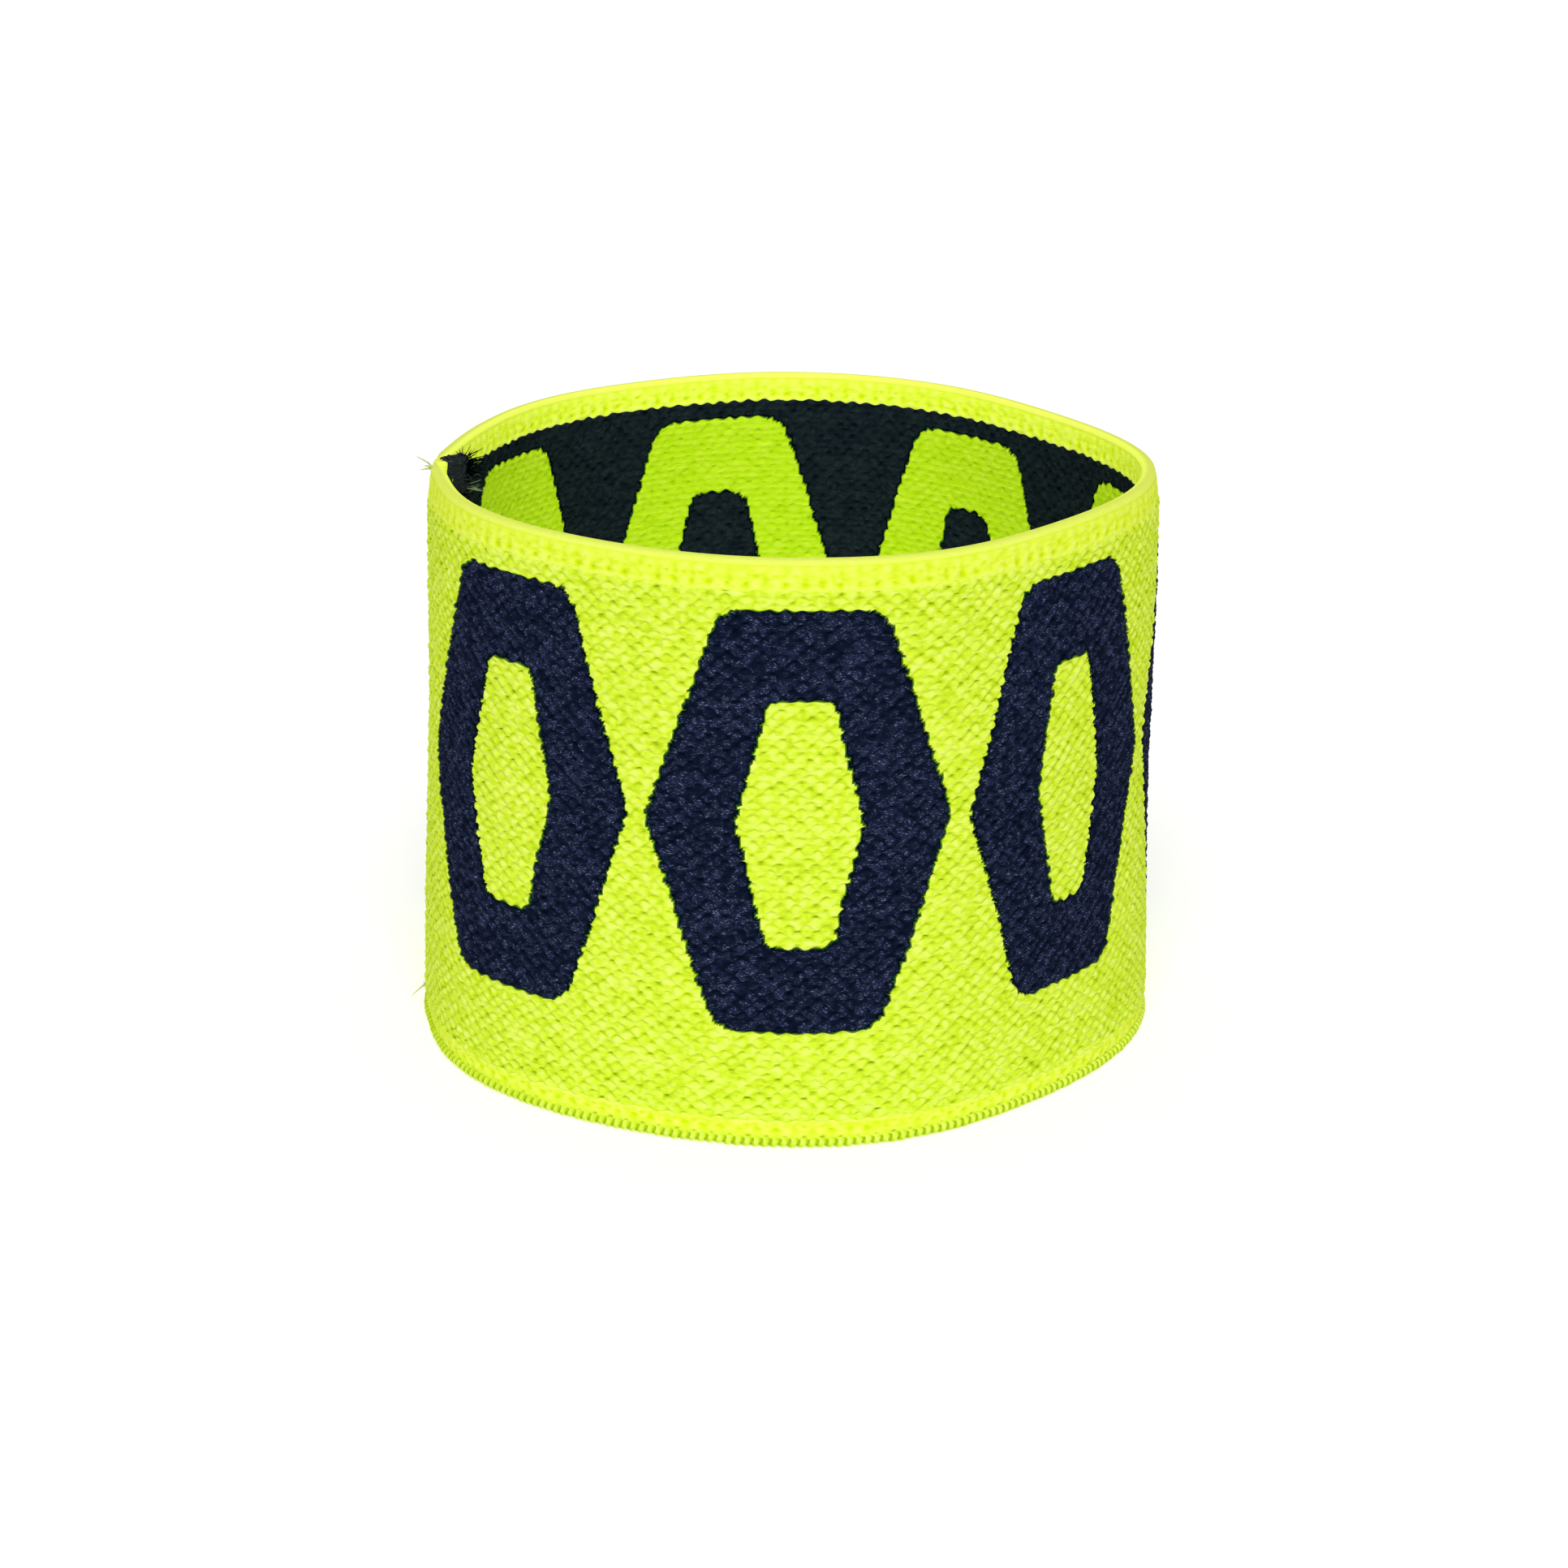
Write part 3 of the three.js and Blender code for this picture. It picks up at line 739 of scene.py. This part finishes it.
def top_sections():
    """From the outer edge of the patterned cloth up, over the rounded rim and down inside."""
    shoulder = loop.height - RIM_RADIUS
    flat = flat_sections(CLOTH_TOP, shoulder)
    arc = []
    for turn in np.linspace(0, math.pi, 25):
        rise = math.sin(turn)
        depth = (HALF - RIM_INSET) * math.cos(turn) * (1 + 0.06 * math.sin(2 * turn) ** 2)
        height = shoulder + RIM_RADIUS * rise**0.8
        in_furrow = rise < 0.05 or (turn > 2 and 0.55 < rise < 0.7)
        arc.append((depth, height, 0.2 * (1 - rise), BEYOND_PITS, 0.7 * in_furrow))
    return flat + arc + other_side(flat)


def bottom_sections():
    """From the inner edge of the patterned cloth down, under the rim and up outside to its outer edge."""
    shoulder = 0.45
    lowest = 0.06
    flat = flat_sections(CLOTH_BASE, shoulder)
    under = []
    for turn in np.linspace(0, math.pi, 13):
        depth = (HALF - RIM_INSET) * math.cos(turn)
        height = shoulder - (shoulder - lowest) * math.sin(turn) ** 0.6
        under.append((depth, height, 0.2, BEYOND_PITS, 0.0))
    return list(reversed(flat + under + other_side(flat)))


def bead_row(material):
    """The catch thread: a row of small loops along the lower rim, two to each repeat of the weave."""
    sides = 12
    beads = REPEATS * 2
    stations = beads * 10
    distance = np.linspace(0.05, strip.length - 0.05, stations)
    phase = 2 * math.pi * distance / (strip.length / beads)
    bead = np.abs(np.cos(phase / 2)) ** 0.6
    tilt = 0.05 * np.sin(phase)
    size = 1 + 0.1 * wander(distance / 0.58, distance * 0, 31)
    radius = BEAD_RADIUS * (0.6 + 0.4 * bead) * size
    height = BEAD_HEIGHT + 0.03 * wander(distance / 1.1, distance * 0, 32)
    path = strip.place(distance, height + tilt, HALF - BEAD_RADIUS + 0.1)
    radius[[0, -1]] = 0.02
    points, quads, vectors = tubes(path[None], radius[None], sides)
    # Painted shade in the gaps between the beads and a painted highlight on their heads; tone varies them at
    # random.
    relief = 1.15 * np.abs(np.cos(phase / 2)) ** 1.2
    tone = 0.5 + 0.5 * wander(distance / 0.58, distance * 0, 33)
    relief = np.repeat(relief * (0.8 + 0.3 * tone), sides)
    vectors["yarn"] = yarn_vectors(relief, 0 * relief)
    vectors["strip"][:, 0] = np.repeat(distance, sides)
    around = np.tile(np.arange(sides), stations)
    edge_piece("bead_row", points, quads, vectors, around, material, "catch_thread")


# ---- The elastic cords inside ----


def rubber_cords(material):
    """Round cords in the places of the CAD's square ones."""
    distance = np.linspace(0.02, strip.length - 0.02, 420)
    for number in range(1, CORD_COUNT + 1):
        low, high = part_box(f"elastic_cord_{number}")
        height = (low.z + high.z) / 2 / METRE
        path = strip.place(distance, height, 0)
        radii = even_radii(path, CORD_RADIUS, 0.12)
        node = f"elastic_cord_{number}"
        thread_piece(f"rubber_{number}", path[None], radii, 8, material, "elastic_rubber", node)


# ---- The sewing ----


def stitch_row(name, node, distance, material):
    """Stitches on one turned-in end: each lies on the cloth and dips into it at both ends."""
    low = 0.5
    high = loop.height - 0.7
    count = round((high - low) / STITCH_LENGTH)
    height = np.linspace(low, high, count * 12 + 1)
    phase = np.linspace(0, count * math.pi, count * 12 + 1)
    lie = np.abs(np.sin(phase)) ** 0.35
    dip = 0.15
    depth = -(HALF - dip + (dip + STITCH_RADIUS * 1.7) * lie)
    sway = 0.12 * np.cos(phase)
    path = strip.place(distance + sway, height, depth)
    radii = even_radii(path, STITCH_RADIUS, 0.02)
    thread_piece(name, path[None], radii, 10, material, "seam_thread", node)


def seam_path(knots, steps=6):
    """A thread laid through knots of (into the seam, across it, height)."""
    into, across, height = np.array(knots, float).T
    plan = strip.stand(strip.seam_point(into, across), height)
    return smooth_path(np.column_stack([plan, height]), steps)


def overlock(material):
    """Threads wound round the cut ends, and over both rims as a bar tack."""
    obj = new_object("overlock_loops", *joined([overlock_turns(), *bar_tacks()]))
    return finish_piece(obj, material, "overlock_thread", "overlock_thread")


def overlock_turns():
    """Three threads that climb the cut ends side by side."""
    edge = strip.cut_depth + OVERLOCK_RADIUS
    start = strip.cut_depth - 1.0
    over_edge = [(edge - 0.1, 1), (edge, 0), (edge - 0.1, -1)]
    turn = [(start, 1), *over_edge, (start, -1), *reversed(over_edge)]
    turns = int((loop.height - 0.8) / OVERLOCK_PITCH)
    strands = 3
    paths = []
    for strand in range(strands):
        side = OVERLOCK_SIDE * (1 + 0.04 * strand)
        knots = []
        for count in range(turns - 1):
            for step, (into, way) in enumerate(turn):
                rise = OVERLOCK_PITCH * (count + strand / strands + step / len(turn))
                knots.append((into - 0.12 * strand, way * side, 0.3 + rise))
        paths.append(seam_path(knots))
    return tubes(np.array(paths), np.full((strands, len(paths[0])), OVERLOCK_RADIUS), 8)


def bar_tacks():
    """Stitches over each rim, side by side, from one turned-in end to the other."""
    random = np.random.default_rng(71)
    up_side = [(1, 0.9, -2.3), (1, 1.1, -1.4), (1, 1.05, -0.6), (1, 0.95, 0.0)]
    down_side = [(-way, width, rise) for way, width, rise in reversed(up_side)]
    over = [*up_side, (0, 1, 0.12), *down_side]
    for rim, up in ((loop.height, 1), (0.12, -1)):
        tacks = []
        for into in np.arange(0.85, strip.cut_depth + OVERLOCK_RADIUS, 0.04):
            tacks.append(seam_path([
                (
                    into + random.normal(0, 0.22),
                    way * OVERLOCK_SIDE * width,
                    rim + up * rise + random.normal(0, 0.08),
                )
                for way, width, rise in over
            ]))
        yield tubes(np.array(tacks), np.full((len(tacks), len(tacks[0])), OVERLOCK_RADIUS * 0.7), 6)


def joined(pieces):
    """The points, quads and vectors of several sets of tubes as one."""
    starts = np.cumsum([0] + [len(points) for points, _, _ in pieces[:-1]])
    points = np.vstack([points for points, _, _ in pieces])
    quads = np.vstack([quads + start for start, (_, quads, _) in zip(starts, pieces)])
    place = np.vstack([vectors["strip"] for _, _, vectors in pieces])
    return points, quads, {"strip": place}


def smooth_path(knots, steps):
    """A curve through the knots, with rounded corners."""
    ends = np.vstack([2 * knots[0] - knots[1], knots, 2 * knots[-1] - knots[-2]])
    around = np.stack([ends[first : len(ends) - 3 + first] for first in range(4)], axis=1)
    blend = np.array([(0, 2, 0, 0), (-1, 0, 1, 0), (2, -5, 4, -1), (-1, 3, -3, 1)]) / 2
    powers = np.linspace(0, 1, steps, endpoint=False)[:, None] ** np.arange(4)
    return np.vstack([(powers @ blend @ around).reshape(-1, 3), knots[-1:]])


def fibres(name, roots, directions, lengths, radius, curl, seed, material, slot):
    """Loose fibre ends. Each leaves its root in its own direction and curls a little."""
    random = np.random.default_rng(seed)
    count = len(roots)
    share = np.linspace(0, 1, 7)[None, :, None]
    bend = random.normal(0, curl, (count, 1, 3))
    twist = random.normal(0, curl * 0.6, (count, 1, 3))
    reach = lengths[:, None, None]
    curve = directions[:, None] * share + bend * share**2 + twist * np.sin(5 * share) * share
    paths = roots[:, None] + reach * curve
    radii = radius * (1 - 0.75 * share[..., 0] ** 2) * random.uniform(0.7, 1.3, (count, 1))
    return thread_piece(name, paths, radii, 4, material, slot)


def fray(name, count, top_count, seed, material, slot, depths):
    """The frayed cut ends: fibres along their whole height and a denser tuft at the upper rim."""
    random = np.random.default_rng(seed)
    height = np.concatenate([
        random.uniform(0.3, loop.height - 0.3, count),
        loop.height - 0.1 - np.abs(random.normal(0, 1.1, top_count)),
    ])
    total = count + top_count
    near_top = smooth_step((height - loop.height + 3) / 3)
    side = np.where(random.uniform(size=total) < 0.5, 0.0, strip.length)
    depth = random.uniform(*depths, total) * HALF
    roots = strip.place(side, height, depth)
    beyond = strip.place(np.where(side > 0, strip.length + 1.0, -1.0), height, depth)
    directions = beyond - roots + random.normal(0, 0.45, (total, 3))
    directions[:, 2] += near_top * random.uniform(-0.2, 0.5, total)
    lengths = random.uniform(0.2, 0.5, total) * (1 + 0.8 * near_top)
    return fibres(name, roots, directions, lengths, 0.045, 0.35, seed + 1, material, slot)


def fans(material):
    """Spread ends of covering filaments among the frayed yarn below the upper rim."""
    random = np.random.default_rng(57)
    roots = []
    directions = []
    for below, across, rise in ((1.0, 0.0, 0.45), (1.9, 0.4, -0.1)):
        height = loop.height - below
        root = strip.stand(strip.seam_point(strip.cut_depth, 0.25 * np.sign(across)), height)
        for turn in random.uniform(-0.45, 0.45, 12):
            plan = strip.into + strip.across * (across + turn)
            directions.append([*plan, rise + random.normal(0, 0.2)])
            roots.append([*root, height + random.normal(0, 0.1)])
    lengths = random.uniform(0.9, 1.4, len(roots))
    roots = np.array(roots)
    directions = np.array(directions)
    return fibres("frayed_covers", roots, directions, lengths, 0.03, 0.06, 58, material, "elastic_rubber")


def overlock_ends(material):
    """Cut ends of the overlock thread that stick out of the bar tack at the upper rim."""
    random = np.random.default_rng(59)
    count = 16
    into = random.uniform(0.6, 1, count) * strip.cut_depth
    across = random.choice((-0.4, 0.4), count)
    height = loop.height - random.uniform(0.1, 1.3, count)
    roots = np.column_stack([strip.stand(strip.seam_point(into, across), height), height])
    inward = strip.into * random.uniform(0.2, 0.9, (count, 1))
    sideways = strip.across * random.normal(0, 0.6, (count, 1))
    directions = np.column_stack([inward + sideways, random.uniform(0.1, 0.9, count)])
    lengths = random.uniform(0.5, 1.0, count)
    return fibres("overlock_ends", roots, directions, lengths, 0.085, 0.4, 60, material, "overlock_thread")


def thread_tail(name, node, height, droop, seed, material):
    """A cut thread end that stands out of the groove along the seam."""
    random = np.random.default_rng(seed)
    count = 3
    root = strip.stand(strip.seam, height)
    roots = np.tile([*root, height], (count, 1)) + random.normal(0, 0.12, (count, 3))
    directions = np.tile([*strip.out, droop], (count, 1)) + random.normal(0, 0.25, (count, 3))
    lengths = random.uniform(0.8, 1.1, count)
    obj = fibres(name, roots, directions, lengths, 0.08, 0.25, seed + 1, material, "seam_thread")
    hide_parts(node)


# ---- Materials ----


class Look:
    """A material and the means to add nodes to it in one line each."""

    def __init__(self, name):
        self.material = bpy.data.materials.new(name)
        self.material.use_nodes = True
        self.tree = self.material.node_tree
        self.shader = self.tree.nodes["Principled BSDF"]

    def node(self, kind, *inputs, **settings):
        made = self.tree.nodes.new("ShaderNode" + kind)
        for key, value in settings.items():
            setattr(made, key, value)
        for socket, value in zip(made.inputs, inputs):
            self.feed(socket, value)
        return made

    def feed(self, socket, value):
        if isinstance(value, bpy.types.NodeSocket):
            self.tree.links.new(value, socket)
        elif isinstance(value, tuple):
            socket.default_value = (*value, 1.0)
        elif value is not None:
            socket.default_value = value

    def maths(self, operation, *inputs):
        return self.node("Math", *inputs, operation=operation).outputs[0]

    def attribute(self, name):
        found = self.node("Attribute", attribute_name=name)
        return self.node("SeparateXYZ", found.outputs["Vector"]).outputs

    def fill(self, node, inputs):
        for key, value in inputs.items():
            self.feed(node.inputs[key], value)
        return node

    def mix(self, share, first, second):
        inputs = {"Factor": share, 6: first, 7: second}
        return self.fill(self.node("Mix", data_type="RGBA"), inputs).outputs[2]

    def noise(self, place, scale, detail=2.0, roughness=0.5):
        inputs = {"Vector": place, "Scale": scale, "Detail": detail, "Roughness": roughness}
        return self.fill(self.node("TexNoise"), inputs).outputs["Fac"]

    def grain(self, scale, detail, first, second):
        """A colour that wanders finely between two others."""
        share = self.noise(self.node("TexCoord").outputs["Object"], scale, detail)
        return self.mix(share, first, second)

    def bump(self, height, strength, distance):
        inputs = {"Height": height, "Strength": strength, "Distance": distance}
        return self.fill(self.node("Bump"), inputs).outputs[0]

    def span(self, value, low, high):
        """A value from low to high, turned into 0 to 1."""
        return self.node("MapRange", value, low, high, 0.0, 1.0, clamp=True).outputs[0]

    def set(self, **inputs):
        self.fill(self.shader, {key.replace("_", " "): value for key, value in inputs.items()})


def fibre_field(look, along, up):
    """Fine streaks along the yarn, from its place on the strip. Returns noise from 0 to 1."""
    place = look.attribute("strip")
    slanted = look.maths("ADD", look.maths("MULTIPLY", place[1], up), look.maths("MULTIPLY", place[0], 0.9))
    stretched = look.node("CombineXYZ", look.maths("MULTIPLY", place[0], along), slanted, place[2])
    return look.noise(stretched.outputs[0], 1.0, 3.0, 0.6)


def cloth_yarn(name, crevice, body, crest, hole, border, inner_glow=0.0):
    """Texturised yarn streaked with fibres: painted shade between the slubs, in pinholes and in creases, and
    a painted highlight on their crests.

    Inside the loop the yarn has a painted glow: its emission stands in for the light that the fluorescent
    walls throw on each other.
    """
    look = Look(name)
    relief, pin, _ = look.attribute("yarn")
    fibre = fibre_field(look, 2.2, 11.0)
    lit = look.maths("MULTIPLY_ADD", relief, 0.75, look.maths("MULTIPLY", fibre, 0.5))
    # Painted shade in the crevices, a painted highlight on the crests, and painted shade in the pinholes and
    # in the creases where two colours meet.
    colour = look.mix(look.span(lit, 0.3, 0.8), crevice, body)
    colour = look.mix(look.span(lit, 0.8, 1.2), colour, crest)
    colour = look.mix(look.span(pin, 0.25, 0.9), colour, hole)
    colour = look.mix(look.span(pin, 1.0, 1.7), colour, border)
    look.set(Roughness=0.9, Specular_IOR_Level=0.05, Normal=look.bump(fibre, 0.8, 0.00005))
    if inner_glow:
        inside = look.span(look.attribute("strip")[2], 0.0, -0.4)
        look.set(Emission_Color=colour, Emission_Strength=look.maths("MULTIPLY", inside, inner_glow))
    return look, colour


def neon_yarn(name, **colours):
    look, colour = cloth_yarn(name, **colours)
    look.set(Base_Color=colour)
    return look.material


def navy_yarn(name, body, crest, glint_colour):
    """Dark yarn with painted glints: a pale colour on the filaments over the crests of the slubs stands in
    for the light they catch.
    """
    look, colour = cloth_yarn(
        name,
        crevice=(0.0003, 0.0015, 0.006),
        body=body,
        crest=crest,
        hole=(0.0002, 0.001, 0.004),
        border=(0.001, 0.006, 0.004),
    )
    relief = look.attribute("yarn")[0]
    glint = look.span(fibre_field(look, 6.0, 13.0), 0.57, 0.68)
    glint = look.maths("MULTIPLY", glint, look.span(relief, 0.65, 1.05))
    look.set(Base_Color=look.mix(glint, colour, glint_colour), Specular_IOR_Level=0.03)
    return look.material


def filament():
    look = Look("covering_filament")
    look.set(Base_Color=look.grain(2000.0, 2.0, (0.16, 0.24, 0.12), (0.5, 0.6, 0.36)), Roughness=0.4)
    return look.material


def thread_material(name, dark, light, roughness):
    """Sewing thread: two plies as slanting bands, painted darker in the grooves between them as shade and
    paler on their crowns as a highlight.
    """
    look = Look(name)
    place = look.attribute("strip")
    turns = look.maths("MULTIPLY_ADD", place[0], 9.0, look.maths("MULTIPLY", place[1], 2.0))
    ply = look.maths("ABSOLUTE", look.maths("SINE", turns))
    fibre = look.noise(look.node("CombineXYZ", place[0], turns, place[2]).outputs[0], 3.0)
    lit = look.maths("MULTIPLY_ADD", ply, 0.6, look.maths("MULTIPLY", fibre, 0.4))
    colour = look.mix(look.span(lit, 0.1, 0.9), dark, light)
    look.set(Base_Color=colour, Roughness=roughness, Specular_IOR_Level=0.35)
    look.set(Normal=look.bump(ply, 0.6, 0.00004))
    return look.material


def rubber():
    look = Look("elastic_rubber")
    look.set(Base_Color=look.grain(900.0, 3.0, (0.62, 0.6, 0.52), (0.82, 0.8, 0.72)), Roughness=0.5)
    return look.material


# ---- The stage ----


def add_floor():
    bpy.ops.mesh.primitive_plane_add(size=4, location=(0, 0, CAD_BOX[0][2] - 0.00002))
    floor = bpy.context.object
    floor.name = "floor"
    look = Look("floor_paper")
    look.set(Base_Color=look.grain(300.0, 2.0, (0.93, 0.93, 0.93), (0.96, 0.96, 0.96)), Roughness=0.9)
    look.set(Specular_IOR_Level=0.1, Emission_Color=(1, 1, 1), Emission_Strength=0.32)
    floor.data.materials.append(look.material)


def add_sun(name, direction, spread, strength):
    """A soft distant lamp that shines from a direction."""
    data = bpy.data.lights.new(name, "SUN")
    data.angle = math.radians(spread)
    data.energy = strength
    lamp = bpy.data.objects.new(name, data)
    lamp.rotation_euler = Vector(direction).to_track_quat("Z", "Y").to_euler()
    bpy.context.scene.collection.objects.link(lamp)


def add_world(strength):
    world = bpy.data.worlds.new("studio")
    world.use_nodes = True
    background = world.node_tree.nodes["Background"]
    background.inputs["Color"].default_value = (1, 1, 1, 1)
    background.inputs["Strength"].default_value = strength
    bpy.context.scene.world = world


CAMERA_DISTANCE = 247.4  # from the middle of the loop
CAMERA_ELEVATION = math.radians(18.98)
CAMERA_PITCH = math.radians(19.82)
CAMERA_YAW = math.radians(-0.03)
CAMERA_ROLL = math.radians(0.56)
CAMERA_LENS = 80.5


def add_camera():
    data = bpy.data.cameras.new("camera")
    data.lens = CAMERA_LENS
    data.sensor_width = 36
    camera = bpy.data.objects.new("camera", data)
    bpy.context.scene.collection.objects.link(camera)
    place = Vector((
        loop.axis[0],
        loop.axis[1] - CAMERA_DISTANCE * math.cos(CAMERA_ELEVATION),
        loop.height / 2 + CAMERA_DISTANCE * math.sin(CAMERA_ELEVATION),
    ))
    level = Euler((math.pi / 2 - CAMERA_PITCH, 0, -CAMERA_YAW)).to_matrix().to_4x4()
    camera.matrix_world = Matrix.Translation(place * METRE) @ level @ Matrix.Rotation(CAMERA_ROLL, 4, "Z")
    bpy.context.scene.camera = camera


# ---- Building everything ----

add_camera()
add_floor()
add_world(0.34)
add_sun("key", (0.0, -0.66, 0.76), 30, 1.92)
bpy.context.scene.view_settings.view_transform = "Standard"

neon = neon_yarn(
    "neon_yarn",
    crevice=(0.34, 0.53, 0.0),
    body=(0.68, 0.89, 0.03),
    crest=(0.86, 0.99, 0.19),
    hole=(0.13, 0.19, 0.0),
    border=(0.01, 0.1, 0.02),
)
# The selvedges lie smoother and are painted as a paler, lit copy of the yarn that glows inside the loop; the
# painted shade in their pits is bright and saturated.
neon_edge = neon_yarn(
    "neon_edge_yarn",
    crevice=(0.64, 0.84, 0.0),
    body=(0.8, 0.96, 0.06),
    crest=(0.88, 0.99, 0.17),
    hole=(0.22, 0.27, 0.03),
    border=(0.22, 0.27, 0.03),
    inner_glow=0.35,
)
# The back cloth is deeper in colour, because its walls light each other with their own green light.
neon_inner = neon_yarn(
    "neon_inner_yarn",
    crevice=(0.41, 0.68, 0.0),
    body=(0.61, 0.94, 0.012),
    crest=(0.74, 0.99, 0.05),
    hole=(0.3, 0.47, 0.0),
    border=(0.01, 0.1, 0.02),
    inner_glow=0.14,
)
navy = navy_yarn(
    "navy_yarn",
    body=(0.004, 0.008, 0.024),
    crest=(0.018, 0.025, 0.066),
    glint_colour=(0.18, 0.21, 0.36),
)
# Inside the loop the navy yarn is painted for the light there: a lighter body and fainter painted glints.
navy_inner = navy_yarn(
    "navy_inner_yarn",
    body=(0.009, 0.017, 0.026),
    crest=(0.018, 0.03, 0.038),
    glint_colour=(0.05, 0.07, 0.08),
)
seam_thread = thread_material(
    "seam_thread", dark=(0.45, 0.55, 0.12), light=(0.8, 0.9, 0.35), roughness=0.6
)
overlock_thread = thread_material(
    "overlock_thread", dark=(0.002, 0.006, 0.01), light=(0.011, 0.02, 0.031), roughness=0.65
)

cloth_pieces("face", 1, FACE_LINES, FACE_RELIEF, 41, (neon, "neon_yarn"), (navy, "navy_yarn"))
cloth_pieces("back", -1, BACK_LINES, BACK_RELIEF, 42, (navy_inner, "navy_yarn"), (neon_inner, "neon_yarn"))
selvedge(ROWS, top_sections(), TOP_PITS, 1.9, neon_edge, "top_edge", "top_selvedge")
selvedge(0, bottom_sections(), BOTTOM_PITS, 1.5, neon_edge, "bottom_edge", "bottom_selvedge")
bead_row(neon)
rubber_cords(rubber())

stitch_distance = CUT_MARGIN - 0.35
stitch_row("needle_stitches", "seam_needle_thread", stitch_distance, seam_thread)
stitch_row("bobbin_stitches", "seam_bobbin_thread", strip.length - stitch_distance, seam_thread)
overlock(overlock_thread)
# The frayed fibres carry no yarn attribute, so the yarn materials paint them mostly in their painted crevice
# shade colour.
fray("frayed_navy", 240, 320, 51, navy, "navy_yarn", (-1, 1))
fray("frayed_neon", 160, 30, 52, neon, "neon_yarn", (-0.2, 1))
fans(filament())
overlock_ends(overlock_thread)
thread_tail("tail_top", "thread_tail_top", loop.height - 0.5, 0.4, 61, seam_thread)
thread_tail("tail_bottom", "thread_tail_bottom", 1.8, -0.5, 62, seam_thread)
